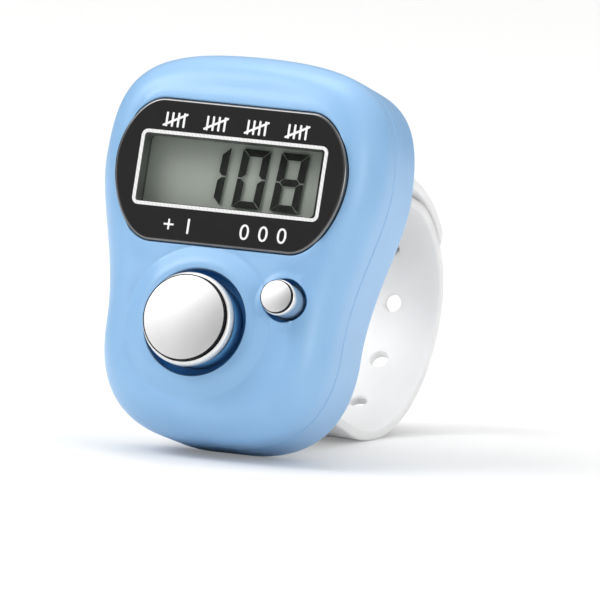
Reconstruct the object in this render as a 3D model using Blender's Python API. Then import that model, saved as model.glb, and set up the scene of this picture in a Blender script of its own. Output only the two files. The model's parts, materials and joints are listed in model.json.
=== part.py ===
# Finger tally counter: a two-shell plastic case with a display, two sprung buttons,
# a button cell behind a screwed door, and a holed soft strap buttoned into a finger loop.
#
# Every piece is drawn in the case's own frame: x to the right, y up the case, z out of its face,
# with the display's centre at x = y = 0 and the flat back at z = 0. The whole counter then leans
# back on its lower edge and its loop, as it stands on a table.

from math import atan2, cos, pi, radians, sin, sqrt

import bmesh
import bpy
from mathutils import Vector

# Clearances
GAP = 0.0003
SLACK = 0.0002

# Case outline, seen from the front: top, widest place, waist and bottom, with each curve's reach
CASE_TOP = 0.0128
TOP_REACH = 0.0121
HEAD_HALF_WIDTH = 0.01505
HEAD_Y = 0.0009
HEAD_RISE = 0.0092
HEAD_FALL = 0.0047
WAIST_HALF_WIDTH = 0.0123
WAIST_Y = -0.0157
WAIST_RISE = 0.0068
WAIST_FALL = 0.0092
CASE_BOTTOM = -0.0265
BOTTOM_FLAT = 0.0020
BOTTOM_REACH = 0.0041
OUTLINE_STEPS = 9

# Walls of the two shells
CASE_WALL = 0.0015
BACK_WALL = 0.0015
FACE_WALL = 0.0015
SEAM_Z = 0.0065
FRONT_EDGE_INSET = 0.0037
FRONT_EDGE_HEIGHT = 0.0050
FRONT_EDGE_STEPS = 5
CEILING_INSET = 0.0004
BACK_EDGE_RADIUS = 0.0010
BACK_EDGE_STEPS = 4
BACK_DRAFT = 0.0001
LIP_WALL = 0.0008
LIP_HEIGHT = 0.0009

# Battery compartment, from the back inwards
DOOR_THICKNESS = 0.0011
DOOR_BESIDE_CELL = 0.0012
DOOR_ABOVE_CELL = 0.0036
DOOR_BELOW_CELL = 0.0013
DOOR_CORNER = 0.0012
DOOR_LEDGE = 0.0012
DOOR_SCREW_ABOVE_CELL = 0.0021
CELL_Y = -0.0065
CELL_RADIUS = 0.0058
CELL_HEIGHT = 0.00305
CELL_CAP_RADIUS = 0.0046
CELL_CAP_HEIGHT = 0.0003
POCKET_WALL = 0.0008
CONTACT_THICKNESS = 0.0003
CONTACT_WIDTH = 0.0024
CONTACT_FOOT = 0.0015
CONTACT_REACH = 0.0037
CONTACT_CORNER = 0.0010
BOARD_THICKNESS = 0.0009

# Display, from the board outwards
DISPLAY_STANDOFF = 0.00205
REFLECTOR_THICKNESS = 0.0002
GLASS_THICKNESS = 0.0007
GLASS_HALF_WIDTH = 0.0110
GLASS_HALF_HEIGHT = 0.0050
GLASS_LEDGE = 0.0013
ZEBRA_MARGIN = 0.0006
DISPLAY_PAD = 0.00075
DISPLAY_PAD_MARGIN = 0.0010
BEZEL_THICKNESS = 0.00115
BEZEL_TOP = 0.00715
BEZEL_TOP_FLAT = 0.0079
BEZEL_HALF_WIDTH = 0.01244
BEZEL_WIDEST_Y = 0.0007
BEZEL_TOP_REACH = 0.0025
BEZEL_RISE = 0.0030
BEZEL_FALL = 0.0038
BEZEL_BOTTOM = -0.00734
BEZEL_BOTTOM_FLAT = 0.0075
BEZEL_BOTTOM_REACH = 0.0027
BEZEL_CORNER_STEPS = 8
WINDOW_HALF_WIDTH = 0.00975
WINDOW_HALF_HEIGHT = 0.00355
WINDOW_CORNER = 0.0005
WINDOW_SUNK = 0.0004
WINDOW_THICKNESS = 0.0006
GASKET_BAND = 0.0007

# Count button
COUNT_X = -0.00103
COUNT_Y = -0.01517
COUNT_RADIUS = 0.00438
COUNT_PROUD = 0.0030
COUNT_CROWN = 0.0003
COUNT_WELL_RADIUS = 0.00532
COUNT_WELL_DEPTH = 0.0015
COUNT_MOUND_RADIUS = 0.00745
COUNT_MOUND_HEIGHT = 0.0007
COUNT_STROKE = 0.0008
COUNT_DOME_RADIUS = 0.0036
COUNT_STEM_RADIUS = 0.0015
COUNT_FLANGE = 0.0006

# Reset button
RESET_FROM_SIDE = 0.00436
RESET_X = WAIST_HALF_WIDTH - RESET_FROM_SIDE
RESET_Y = -0.01197
RESET_RADIUS = 0.00167
RESET_PROUD = 0.0023
RESET_CROWN = 0.00015
RESET_WELL_RADIUS = 0.00215
RESET_WELL_DEPTH = 0.0007
RESET_MOUND_RADIUS = 0.0028
RESET_MOUND_HEIGHT = 0.0002
RESET_STROKE = 0.0006
RESET_DOME_RADIUS = 0.0014
RESET_STEM_RADIUS = 0.0008
RESET_FLANGE = 0.0003

# Both buttons
FLANGE_THICKNESS = 0.0008
CAP_EDGE_RADIUS = 0.0005
CAP_WALL = 0.0009
DOME_PACKED = 0.0013
DOME_WALL = 0.0004
DOME_CROWN_SHARE = 0.5
DOME_FOOT_SHARE = 0.78
MOUND_PROFILE = ((0.2, 0.12), (0.42, 0.45), (0.62, 0.8), (0.8, 0.96), (0.9, 1.0))

# Fasteners
TOP_SCREW_FROM_SIDE = 0.00595
TOP_SCREW_FROM_TOP = 0.0051
BOTTOM_SCREW_FROM_SIDE = 0.0041
BOTTOM_SCREW_FROM_BOTTOM = 0.0061
CASE_SCREW_HEAD_RADIUS = 0.00145
CASE_SCREW_HEAD_HEIGHT = 0.0009
CASE_SCREW_RADIUS = 0.0008
CASE_SCREW_REACH = 0.0025
BOARD_SCREW_X = 0.0040
BOARD_SCREW_FROM_TOP = 0.0048
BOARD_SCREW_HEAD_RADIUS = 0.0011
BOARD_SCREW_HEAD_HEIGHT = 0.0006
BOARD_SCREW_RADIUS = 0.0005
BOARD_SCREW_REACH = 0.0016
DOOR_SCREW_HEAD_RADIUS = 0.0012
DOOR_SCREW_HEAD_HEIGHT = 0.0004
DOOR_SCREW_RADIUS = 0.0006
DOOR_SCREW_REACH = 0.0022
SLOT_WIDTH = 0.00035
SLOT_DEPTH = 0.0002
HEAD_CHAMFER = 0.0002
SLOT_SHARE = 0.62
TIP_SHARE = 0.35
FRONT_BOSS_WALL = 0.0008
BOARD_BOSS_WALL = 0.0005
BACK_BOSS_WALL = 0.0006
DOOR_BOSS_WALL = 0.0008

# Electronics
CHIP_X = -0.0015
CHIP_Y = -0.0076
CHIP_RADIUS = 0.0019
CHIP_HEIGHT = 0.0008

# Strap: one soft band through two bars on the back, its holed end inside its studded end
STRAP_HALF_WIDTH = 0.0052
STRAP_THICKNESS = 0.0010
STRAP_EDGE = 0.0002
STRAP_LAYER_GAP = 0.00035
BAR_ABOVE_DOOR = 0.0002
BAR_BELOW_DOOR = 0.0024
BAR_WIDTH = 0.0022
BAR_THICKNESS = 0.0012
BAR_ROUND = 0.0005
BAR_POST = 0.0016
LOOP_BACK_Z = -0.0375
LOOP_CROWN_Y = -0.0050
LOOP_BOTTOM_Y = -0.0211
LOOP_PINCH_DEG = 5
LOOP_TOP_TURN_Z = -0.0220
LOOP_BOTTOM_TURN_Z = -0.0190
HOLE_COUNT = 5
HOLE_PITCH = 0.0066
HOLE_RADIUS = 0.0009
STUD_COUNT = 3
FIRST_HOLE_ABOVE_CROWN = 0.0004
TAIL_AFTER_HOLE = 0.0045
TIP_AFTER_STUD = 0.0030
STUD_RADIUS = 0.00055
STUD_HEAD_RADIUS = 0.0010
STUD_HEAD_HEIGHT = 0.0005
STRAP_STEP = 0.0020
TOP_TURN_STEPS = 60
BOTTOM_TURN_STEPS = 20
BAR_TURN_STEPS = 5
TIP_ANGLES = (14, 28, 42, 56, 70)

# Heights above the back, each from the one before
CELL_Z = DOOR_THICKNESS + GAP
CONTACT_Z = CELL_Z + CELL_HEIGHT + GAP
BOARD_Z = CONTACT_Z + CONTACT_THICKNESS + GAP
BOARD_TOP = BOARD_Z + BOARD_THICKNESS
REFLECTOR_Z = BOARD_TOP + DISPLAY_STANDOFF
REAR_GLASS_Z = REFLECTOR_Z + REFLECTOR_THICKNESS + GAP
FRONT_GLASS_Z = REAR_GLASS_Z + GLASS_THICKNESS + GAP
PAD_Z = FRONT_GLASS_Z + GLASS_THICKNESS + GAP
BEZEL_Z = PAD_Z + DISPLAY_PAD + GAP
FACE_Z = BEZEL_Z + BEZEL_THICKNESS
CEILING_Z = FACE_Z - FACE_WALL
BOSS_Z = BOARD_Z - GAP
FLANGE_Z = CEILING_Z - GAP - FLANGE_THICKNESS

# Places across and up the case, each from what it lies beside
DOOR_HALF_WIDTH = CELL_RADIUS + DOOR_BESIDE_CELL
DOOR_TOP = CELL_Y + CELL_RADIUS + DOOR_ABOVE_CELL
DOOR_BOTTOM = CELL_Y - CELL_RADIUS - DOOR_BELOW_CELL
DOOR_SCREW_Y = CELL_Y + CELL_RADIUS + DOOR_SCREW_ABOVE_CELL
BAR_TOP_Y = DOOR_TOP + GAP + BAR_ABOVE_DOOR + BAR_WIDTH
BAR_BOTTOM_Y = DOOR_BOTTOM - GAP - BAR_BELOW_DOOR - BAR_WIDTH

# The strap's tail above the loop's crown
HOLES_ABOVE_CROWN = STUD_COUNT - 1
TAIL_RISE = FIRST_HOLE_ABOVE_CROWN + HOLES_ABOVE_CROWN * HOLE_PITCH + TAIL_AFTER_HOLE

# Lengths that only let one solid sink into its neighbour, or a cutter run past a face
SINK = 0.0004
PAST = 0.0030


def clear_scene():
    for obj in list(bpy.data.objects):
        bpy.data.objects.remove(obj, do_unlink=True)


def material(name, colour, roughness, metallic=0.0, alpha=1.0):
    made = bpy.data.materials.new(name)
    made.use_nodes = True
    shader = made.node_tree.nodes["Principled BSDF"]
    shader.inputs["Base Color"].default_value = (*colour, 1.0)
    shader.inputs["Roughness"].default_value = roughness
    shader.inputs["Metallic"].default_value = metallic
    shader.inputs["Alpha"].default_value = alpha
    return made


def add_object(name, bm, look=None):
    bmesh.ops.recalc_face_normals(bm, faces=bm.faces)
    mesh = bpy.data.meshes.new(name)
    bm.to_mesh(mesh)
    bm.free()
    mesh.shade_smooth()
    mesh.set_sharp_from_angle(angle=radians(35))
    if look is not None:
        mesh.materials.append(look)
    obj = bpy.data.objects.new(name, mesh)
    bpy.context.scene.collection.objects.link(obj)
    return obj


def loft(name, rings, look=None):
    """A closed solid through rings of equally many points, capped at both ends."""
    bm = bmesh.new()
    rows = [[bm.verts.new(point) for point in ring] for ring in rings]
    count = len(rows[0])
    for low, high in zip(rows, rows[1:]):
        for i in range(count):
            j = (i + 1) % count
            bm.faces.new((low[i], low[j], high[j], high[i]))
    bm.faces.new(rows[0])
    bm.faces.new(rows[-1])
    return add_object(name, bm, look)


def lathe(name, profile, at=(0.0, 0.0), sides=32, look=None):
    """A solid turned about z from (radius, height) pairs that start and end on the axis, or go round a bore."""
    bm = bmesh.new()
    angles = [2 * pi * i / sides for i in range(sides)]
    rows = []
    for radius, height in profile:
        if radius == 0:
            rows.append([bm.verts.new((at[0], at[1], height))] * sides)
        else:
            rows.append([
                bm.verts.new((at[0] + radius * cos(a), at[1] + radius * sin(a), height))
                for a in angles
            ])
    if profile[0][0] > 0:
        rows.append(rows[0])
    for low, high in zip(rows, rows[1:]):
        for i in range(sides):
            j = (i + 1) % sides
            corners = list(dict.fromkeys((low[i], low[j], high[j], high[i])))
            if len(corners) > 2:
                bm.faces.new(corners)
    return add_object(name, bm, look)


def cylinder(name, at, radius, low, high, sides=16, look=None):
    return lathe(name, [(0, low), (radius, low), (radius, high), (0, high)], at, sides, look)


def plate(name, outline, low, high, look=None):
    return loft(name, [[(x, y, z) for x, y in outline] for z in (low, high)], look)


def block(name, left, right, bottom, top, low, high, look=None):
    return plate(name, [(left, bottom), (right, bottom), (right, top), (left, top)], low, high, look)


def rounded_box(left, right, bottom, top, corner, steps=4):
    """The outline of a rectangle with round corners."""
    centres = [
        (right - corner, top - corner, 0), (left + corner, top - corner, 90),
        (left + corner, bottom + corner, 180), (right - corner, bottom + corner, 270),
    ]
    return [
        (x + corner * cos(radians(start + 90 * k / steps)), y + corner * sin(radians(start + 90 * k / steps)))
        for x, y, start in centres
        for k in range(steps + 1)
    ]


def hide_tool(obj):
    obj.hide_render = True
    obj.display_type = "WIRE"


def boolean(obj, tools, operation):
    for tool in tools:
        hide_tool(tool)
        step = obj.modifiers.new(f"{operation.lower()}_{tool.name}", "BOOLEAN")
        step.operation = operation
        step.solver = "EXACT"
        step.object = tool


def cut(obj, *tools):
    boolean(obj, tools, "DIFFERENCE")


def fuse(obj, *tools):
    boolean(obj, tools, "UNION")


def gather(name, solids):
    """One object from solids that stand clear of each other, to add or cut away in one step."""
    bm = bmesh.new()
    for solid in solids:
        bm.from_mesh(solid.data)
        bpy.data.objects.remove(solid, do_unlink=True)
    return add_object(name, bm)


def bezier(start, reach, pull, end, steps):
    """Points from start up to, and without, end."""
    points = []
    for k in range(steps):
        t = k / steps
        a, b, c, d = (1 - t) ** 3, 3 * (1 - t) ** 2 * t, 3 * (1 - t) * t * t, t ** 3
        points.append(tuple(a * s + b * r + c * p + d * e for s, r, p, e in zip(start, reach, pull, end)))
    return points


def mirrored(right_side):
    """A closed outline from its right side, listed from the bottom centre to the top centre."""
    left_side = [(-x, y) for x, y in reversed(right_side) if x > 1e-9]
    return right_side + left_side


def case_outline():
    bottom, waist = (BOTTOM_FLAT, CASE_BOTTOM), (WAIST_HALF_WIDTH, WAIST_Y)
    head, top = (HEAD_HALF_WIDTH, HEAD_Y), (0.0, CASE_TOP)
    steps = OUTLINE_STEPS
    past_flat = (BOTTOM_FLAT + BOTTOM_REACH, CASE_BOTTOM)
    right_side = bezier(bottom, past_flat, (waist[0], WAIST_Y - WAIST_FALL), waist, steps)
    right_side += bezier(waist, (waist[0], WAIST_Y + WAIST_RISE), (head[0], HEAD_Y - HEAD_FALL), head, steps)
    right_side += bezier(head, (head[0], HEAD_Y + HEAD_RISE), (TOP_REACH, CASE_TOP), top, steps)
    return mirrored(right_side + [top])


def bezel_outline():
    low, high = (BEZEL_BOTTOM_FLAT, BEZEL_BOTTOM), (BEZEL_TOP_FLAT, BEZEL_TOP)
    widest = (BEZEL_HALF_WIDTH, BEZEL_WIDEST_Y)
    right_side = bezier(
        low, (low[0] + BEZEL_BOTTOM_REACH, BEZEL_BOTTOM),
        (widest[0], BEZEL_WIDEST_Y - BEZEL_FALL), widest, BEZEL_CORNER_STEPS,
    )
    right_side += bezier(
        widest, (widest[0], BEZEL_WIDEST_Y + BEZEL_RISE),
        (high[0] + BEZEL_TOP_REACH, BEZEL_TOP), high, BEZEL_CORNER_STEPS,
    )
    return mirrored(right_side + [high])


def inset(outline, distance):
    """The outline moved inwards by a distance, square to itself; a negative one moves it out."""
    count = len(outline)
    moved = []
    for i, (x, y) in enumerate(outline):
        before, after = outline[i - 1], outline[(i + 1) % count]
        along = Vector((after[0] - before[0], after[1] - before[1])).normalized()
        moved.append((x - along.y * distance, y + along.x * distance))
    return moved


def ring(outline, distance, z):
    return [(x, y, z) for x, y in inset(outline, distance)]


def both_sides(place):
    return [(-place[0], place[1]), place]


CASE_SCREWS = both_sides((HEAD_HALF_WIDTH - TOP_SCREW_FROM_SIDE, CASE_TOP - TOP_SCREW_FROM_TOP))
CASE_SCREWS += both_sides((WAIST_HALF_WIDTH - BOTTOM_SCREW_FROM_SIDE, CASE_BOTTOM + BOTTOM_SCREW_FROM_BOTTOM))
BOARD_SCREWS = both_sides((BOARD_SCREW_X, CASE_TOP - BOARD_SCREW_FROM_TOP))
FRONT_BOSS_RADIUS = CASE_SCREW_RADIUS + GAP + FRONT_BOSS_WALL


def mound(name, at, radius, height, well_radius):
    """The soft ring that swells out of the face round a button."""
    slope = radius - well_radius
    bore = well_radius - SINK
    profile = [(bore, CEILING_Z + SINK), (radius, CEILING_Z + SINK), (radius, FACE_Z - height / 10)]
    for share, rise in MOUND_PROFILE:
        profile.append((radius - share * slope, FACE_Z + rise * height))
    return lathe(name, profile + [(bore, FACE_Z + height)], at)


def button_well(name, at, radius, floor_z, hole_radius):
    profile = [(0, CEILING_Z - PAST), (hole_radius, CEILING_Z - PAST), (hole_radius, floor_z)]
    profile += [(radius, floor_z), (radius, FACE_Z + PAST), (0, FACE_Z + PAST)]
    return lathe(name, profile, at)


def make_front_case(look):
    outline = case_outline()
    rim = SEAM_Z + GAP / 2
    shoulder = FACE_Z - FRONT_EDGE_HEIGHT
    rings = [
        ring(outline, CASE_WALL + CEILING_INSET, CEILING_Z),
        ring(outline, CASE_WALL, CEILING_Z - CASE_WALL),
        ring(outline, CASE_WALL, rim),
        ring(outline, 0, rim),
    ]
    for k in range(FRONT_EDGE_STEPS + 1):
        angle = pi / 2 * k / FRONT_EDGE_STEPS
        across, up = 1 - cos(angle), sin(angle)
        rings.append(ring(outline, FRONT_EDGE_INSET * across, shoulder + FRONT_EDGE_HEIGHT * up))
    case = loft("front_case", rings, look)

    bezel = bezel_outline()
    count, reset = (COUNT_X, COUNT_Y), (RESET_X, RESET_Y)
    board_boss_radius = BOARD_SCREW_RADIUS + GAP + BOARD_BOSS_WALL
    ceiling = CEILING_Z + SINK
    fuse(
        case,
        plate("display_pad", inset(bezel, -DISPLAY_PAD_MARGIN), PAD_Z, ceiling),
        gather("front_bosses", [
            cylinder("boss", at, FRONT_BOSS_RADIUS, BOSS_Z + GAP, ceiling) for at in CASE_SCREWS
        ]),
        gather("board_bosses", [
            cylinder("boss", at, board_boss_radius, BOARD_TOP + GAP, ceiling, 12) for at in BOARD_SCREWS
        ]),
        mound("count_mound", count, COUNT_MOUND_RADIUS, COUNT_MOUND_HEIGHT, COUNT_WELL_RADIUS),
        mound("reset_mound", reset, RESET_MOUND_RADIUS, RESET_MOUND_HEIGHT, RESET_WELL_RADIUS),
    )

    count_floor = FACE_Z + COUNT_MOUND_HEIGHT - COUNT_WELL_DEPTH
    reset_floor = FACE_Z + RESET_MOUND_HEIGHT - RESET_WELL_DEPTH
    half_width = WINDOW_HALF_WIDTH + GASKET_BAND + GAP
    half_height = WINDOW_HALF_HEIGHT + GASKET_BAND + GAP
    case_hole_top = BOSS_Z + GAP + CASE_SCREW_REACH + GAP
    board_hole_top = BOARD_TOP + GAP + BOARD_SCREW_REACH + GAP
    cut(
        case,
        plate("bezel_recess", inset(bezel, -GAP), BEZEL_Z - GAP, FACE_Z + PAST),
        block("display_opening", -half_width, half_width, -half_height, half_height, PAD_Z - PAST, FACE_Z),
        gather("screw_holes", [
            cylinder("hole", at, CASE_SCREW_RADIUS + GAP, SEAM_Z - PAST, case_hole_top, 12) for at in CASE_SCREWS
        ] + [
            cylinder("hole", at, BOARD_SCREW_RADIUS + GAP, SEAM_Z, board_hole_top, 12) for at in BOARD_SCREWS
        ]),
        gather("button_wells", [
            button_well("well", count, COUNT_WELL_RADIUS, count_floor, COUNT_RADIUS + GAP),
            button_well("well", reset, RESET_WELL_RADIUS, reset_floor, RESET_RADIUS + GAP),
        ]),
    )
    return case


def strap_bar(name, bottom, top):
    """A round-edged bar across the back, held off it by a post at each end."""
    high = -(GAP + STRAP_THICKNESS + GAP)
    low = high - BAR_THICKNESS
    reach = STRAP_HALF_WIDTH + GAP + BAR_POST
    section = rounded_box(bottom, top, low, high, BAR_ROUND)
    bar = loft(name, [[(x, y, z) for y, z in section] for x in (-reach, reach)])
    posts = []
    for side in (-1, 1):
        left, right = sorted((side * (reach - BAR_POST), side * (reach - SINK / 2)))
        outline = rounded_box(left, right, bottom + SINK / 4, top - SINK / 4, BAR_ROUND)
        posts.append(plate("post", outline, low + BAR_ROUND, SINK))
    return [bar, gather(f"{name}_posts", posts)]


def make_back_case(look):
    outline = case_outline()
    rim = SEAM_Z - GAP / 2
    lip_outer = CASE_WALL + GAP
    rings = [
        ring(outline, CASE_WALL + GAP + LIP_WALL, BACK_WALL),
        ring(outline, lip_outer + LIP_WALL, rim + LIP_HEIGHT),
        ring(outline, lip_outer, rim + LIP_HEIGHT),
        ring(outline, lip_outer, rim),
        ring(outline, 0, rim),
    ]
    for k in range(BACK_EDGE_STEPS + 1):
        angle = pi / 2 * k / BACK_EDGE_STEPS
        across, down = 1 - cos(angle), sin(angle)
        rings.append(ring(outline, BACK_DRAFT + BACK_EDGE_RADIUS * across, BACK_EDGE_RADIUS * (1 - down)))
    case = loft("back_case", rings, look)
    notch_radius = FRONT_BOSS_RADIUS + GAP
    cut(case, gather("lip_notches", [
        cylinder("notch", at, notch_radius, BOSS_Z + GAP / 2, SEAM_Z + PAST) for at in CASE_SCREWS
    ]))

    floor = BACK_WALL - SINK
    frame = DOOR_HALF_WIDTH + GAP + DOOR_LEDGE
    pocket = CELL_RADIUS + GAP
    door_boss = DOOR_SCREW_RADIUS + GAP + DOOR_BOSS_WALL
    case_boss = CASE_SCREW_HEAD_RADIUS + GAP + BACK_BOSS_WALL
    fuse(
        case,
        block("door_frame", -frame, frame, DOOR_BOTTOM - GAP - DOOR_LEDGE, DOOR_TOP + GAP + DOOR_LEDGE,
              floor, CELL_Z + DOOR_LEDGE),
        cylinder("pocket_wall", (0, CELL_Y), pocket + POCKET_WALL, floor, BOSS_Z - SLACK, 32),
        cylinder("door_boss", (0, DOOR_SCREW_Y), door_boss, floor, BOSS_Z),
        gather("back_bosses", [cylinder("boss", at, case_boss, floor, BOSS_Z) for at in CASE_SCREWS]),
        *strap_bar("top_bar", BAR_TOP_Y - BAR_WIDTH, BAR_TOP_Y),
        *strap_bar("bottom_bar", BAR_BOTTOM_Y, BAR_BOTTOM_Y + BAR_WIDTH),
    )

    recess = rounded_box(
        -DOOR_HALF_WIDTH - GAP, DOOR_HALF_WIDTH + GAP, DOOR_BOTTOM - GAP, DOOR_TOP + GAP, DOOR_CORNER + GAP,
    )
    notch = CONTACT_WIDTH / 2 + GAP
    head, hole = CASE_SCREW_HEAD_RADIUS + GAP, CASE_SCREW_RADIUS + GAP
    past = BOARD_Z + PAST
    stepped = [(0, -SINK), (head, -SINK), (head, BACK_WALL), (hole, BACK_WALL), (hole, past), (0, past)]
    cut(
        case,
        plate("door_recess", recess, -SINK, CELL_Z),
        block("contact_notch", CELL_RADIUS / 2, pocket + POCKET_WALL + SINK, CELL_Y - notch, CELL_Y + notch,
              CELL_Z + DOOR_LEDGE, past - SINK),
        cylinder("cell_pocket", (0, CELL_Y), pocket, CELL_Z - SINK, past, 32),
        gather("screw_holes_back", [lathe("hole", stepped, at, 16) for at in CASE_SCREWS] + [
            cylinder("hole", (0, DOOR_SCREW_Y), DOOR_SCREW_RADIUS + GAP, CELL_Z - SINK, BOSS_Z - GAP, 12),
        ]),
    )
    return case


def make_battery_door(look):
    outline = rounded_box(-DOOR_HALF_WIDTH, DOOR_HALF_WIDTH, DOOR_BOTTOM, DOOR_TOP, DOOR_CORNER)
    door = plate("battery_door", outline, 0, DOOR_THICKNESS, look)
    seat = DOOR_SCREW_HEAD_HEIGHT + GAP
    head, hole = DOOR_SCREW_HEAD_RADIUS + GAP, DOOR_SCREW_RADIUS + GAP
    cut(door, lathe("door_countersink", [
        (0, -PAST), (head, -PAST), (head, seat), (hole, seat), (hole, PAST), (0, PAST),
    ], (0, DOOR_SCREW_Y), 16))
    return door


def make_screw(name, at, head_z, head_radius, head_height, radius, tip_z, look):
    """A cross-slotted screw, driven in from the back: its head is at head_z and its tip at tip_z."""
    neck = head_z + head_height
    profile = [
        (0, head_z), (head_radius - HEAD_CHAMFER, head_z), (head_radius, head_z + HEAD_CHAMFER),
        (head_radius, neck), (radius, neck), (radius, tip_z - radius), (radius * TIP_SHARE, tip_z), (0, tip_z),
    ]
    screw = lathe(name, profile, at, 16, look)
    arm, half = head_radius * SLOT_SHARE, SLOT_WIDTH / 2
    for i, (wide, high) in enumerate([(arm, half), (half, arm)]):
        cut(screw, block(f"{name}_slot_{i}", at[0] - wide, at[0] + wide, at[1] - high, at[1] + high,
                         head_z - SINK, head_z + SLOT_DEPTH))
    return screw


def window_outline(grown):
    wide, high = WINDOW_HALF_WIDTH + grown, WINDOW_HALF_HEIGHT + grown
    return rounded_box(-wide, wide, -high, high, WINDOW_CORNER)


def make_bezel(look):
    bezel = plate("display_bezel", bezel_outline(), BEZEL_Z, FACE_Z, look)
    cut(bezel, plate("bezel_opening", window_outline(0), BEZEL_Z - PAST, FACE_Z + PAST))
    return bezel


def make_window(look):
    top = FACE_Z - WINDOW_SUNK
    return plate("display_window", window_outline(-GAP), top - WINDOW_THICKNESS, top, look)


def make_gasket(look):
    gasket = plate("display_gasket", window_outline(GASKET_BAND), PAD_Z, BEZEL_Z - GAP, look)
    cut(gasket, plate("gasket_opening", window_outline(0), PAD_Z - PAST, BEZEL_Z + PAST))
    return gasket


def make_display(glass, reflector, rubber):
    wide, high = GLASS_HALF_WIDTH, GLASS_HALF_HEIGHT
    ledge = high - GLASS_LEDGE
    front_top, rear_top = FRONT_GLASS_Z + GLASS_THICKNESS, REAR_GLASS_Z + GLASS_THICKNESS
    reflector_top = REFLECTOR_Z + REFLECTOR_THICKNESS
    return [
        block("lcd_front_glass", -wide, wide, -high, high, FRONT_GLASS_Z, front_top, glass),
        block("lcd_rear_glass", -wide, wide, -high, ledge, REAR_GLASS_Z, rear_top, glass),
        block("lcd_reflector", -wide, wide, -high, ledge, REFLECTOR_Z, reflector_top, reflector),
        block("zebra_strip", -wide + ZEBRA_MARGIN, wide - ZEBRA_MARGIN, ledge + GAP, high,
              BOARD_TOP + GAP, FRONT_GLASS_Z - GAP, rubber),
    ]


def make_board(look):
    clear_of_lip = CASE_WALL + GAP + LIP_WALL + GAP
    board = plate("circuit_board", inset(case_outline(), clear_of_lip), BOARD_Z, BOARD_TOP, look)
    low, high = BOARD_Z - PAST, BOARD_TOP + PAST
    cut(board, gather("board_holes", [
        cylinder("hole", at, FRONT_BOSS_RADIUS + GAP, low, high) for at in CASE_SCREWS
    ] + [
        cylinder("hole", at, BOARD_SCREW_RADIUS + GAP, low, high, 12) for at in BOARD_SCREWS
    ]))
    return board


def make_chip(look):
    low = BOARD_TOP + GAP
    profile = [(0, low), (CHIP_RADIUS, low)]
    for angle in range(15, 90, 15):
        profile.append((CHIP_RADIUS * cos(radians(angle)), low + CHIP_HEIGHT * sin(radians(angle))))
    return lathe("chip_blob", profile + [(0, low + CHIP_HEIGHT)], (CHIP_X, CHIP_Y), 20, look)


def make_cell(look):
    shoulder = CELL_Z + CELL_HEIGHT - CELL_CAP_HEIGHT
    edge = CELL_CAP_HEIGHT / 2
    return lathe("button_cell", [
        (0, CELL_Z), (CELL_RADIUS - edge, CELL_Z), (CELL_RADIUS, CELL_Z + edge),
        (CELL_RADIUS, shoulder - edge), (CELL_RADIUS - edge, shoulder), (CELL_CAP_RADIUS + edge, shoulder),
        (CELL_CAP_RADIUS, CELL_Z + CELL_HEIGHT), (0, CELL_Z + CELL_HEIGHT),
    ], (0, CELL_Y), 32, look)


def make_contacts(look):
    half = CONTACT_WIDTH / 2
    near = CELL_RADIUS + GAP
    far = near + CONTACT_THICKNESS
    low, high = CELL_Z + DOOR_LEDGE + GAP, BOSS_Z
    fold = high - CONTACT_THICKNESS
    foot = far + CONTACT_FOOT
    section = [(near, low), (far, low), (far, fold), (foot, fold), (foot, high), (near, high)]
    positive = loft("battery_contact_positive", [
        [(x, y, z) for x, z in section] for y in (CELL_Y - half, CELL_Y + half)
    ], look)
    pad = rounded_box(-half, half, CELL_Y - CONTACT_REACH, CELL_Y + CONTACT_REACH, CONTACT_CORNER)
    negative = plate("battery_contact_negative", pad, CONTACT_Z, CONTACT_Z + CONTACT_THICKNESS, look)
    return [positive, negative]


def make_button(name, at, radius, edge_z, crown, stem_radius, stroke, overlap, sides, look):
    """A hollow cap with a flange under the case's face and a stem over its dome, turned about its own axis."""
    stem_end = BOARD_TOP + GAP + stroke + DOME_PACKED + GAP
    inside = edge_z - CAP_WALL
    bore = radius - CAP_WALL
    flange = radius + GAP + overlap
    profile = [(0, stem_end), (stem_radius, stem_end)]
    if bore > stem_radius + GAP:
        profile += [(stem_radius, inside), (bore, inside), (bore, FLANGE_Z)]
    else:
        profile.append((stem_radius, FLANGE_Z))
    flange_top = FLANGE_Z + FLANGE_THICKNESS
    profile += [(flange, FLANGE_Z), (flange, flange_top), (radius, flange_top)]
    edge = min(CAP_EDGE_RADIUS, radius * 0.3)
    for angle in (0, 30, 60, 90):
        across, up = cos(radians(angle)), sin(radians(angle))
        profile.append((radius - edge + edge * across, edge_z - edge + edge * up))
    for share in (0.75, 0.5, 0.25):
        profile.append(((radius - edge) * share, edge_z + crown * (1 - share * share)))
    button = lathe(name, profile + [(0, edge_z + crown)], (0, 0), sides, look)
    button.location = (*at, 0)
    return button


def make_dome(name, at, radius, stroke, look):
    """A hollow rubber dome, open towards the board, turned about its own axis."""
    low = BOARD_TOP + GAP
    high, rim = low + stroke + DOME_PACKED, low + DOME_WALL
    crown, foot = radius * DOME_CROWN_SHARE, radius * DOME_FOOT_SHARE
    inside = high - 2 * DOME_WALL
    dome = lathe(name, [
        (0, inside), (crown - DOME_WALL / 2, inside), (foot - DOME_WALL, low),
        (radius, low), (radius, rim), (foot, rim), (crown, high), (0, high),
    ], (0, 0), 20, look)
    dome.location = (*at, 0)
    return dome


def quarter(centre, across, up, start, end, steps):
    """Points (z, y) on an ellipse's quarter; the angle runs from the loop's far back to its top or bottom."""
    points = []
    for k in range(steps + 1):
        angle = radians(start + (end - start) * k / steps)
        points.append((centre[0] - across * cos(angle), centre[1] + up * sin(angle)))
    return points


def run_length(points):
    return sum(sqrt((a[0] - b[0]) ** 2 + (a[1] - b[1]) ** 2) for a, b in zip(points, points[1:]))


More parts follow.
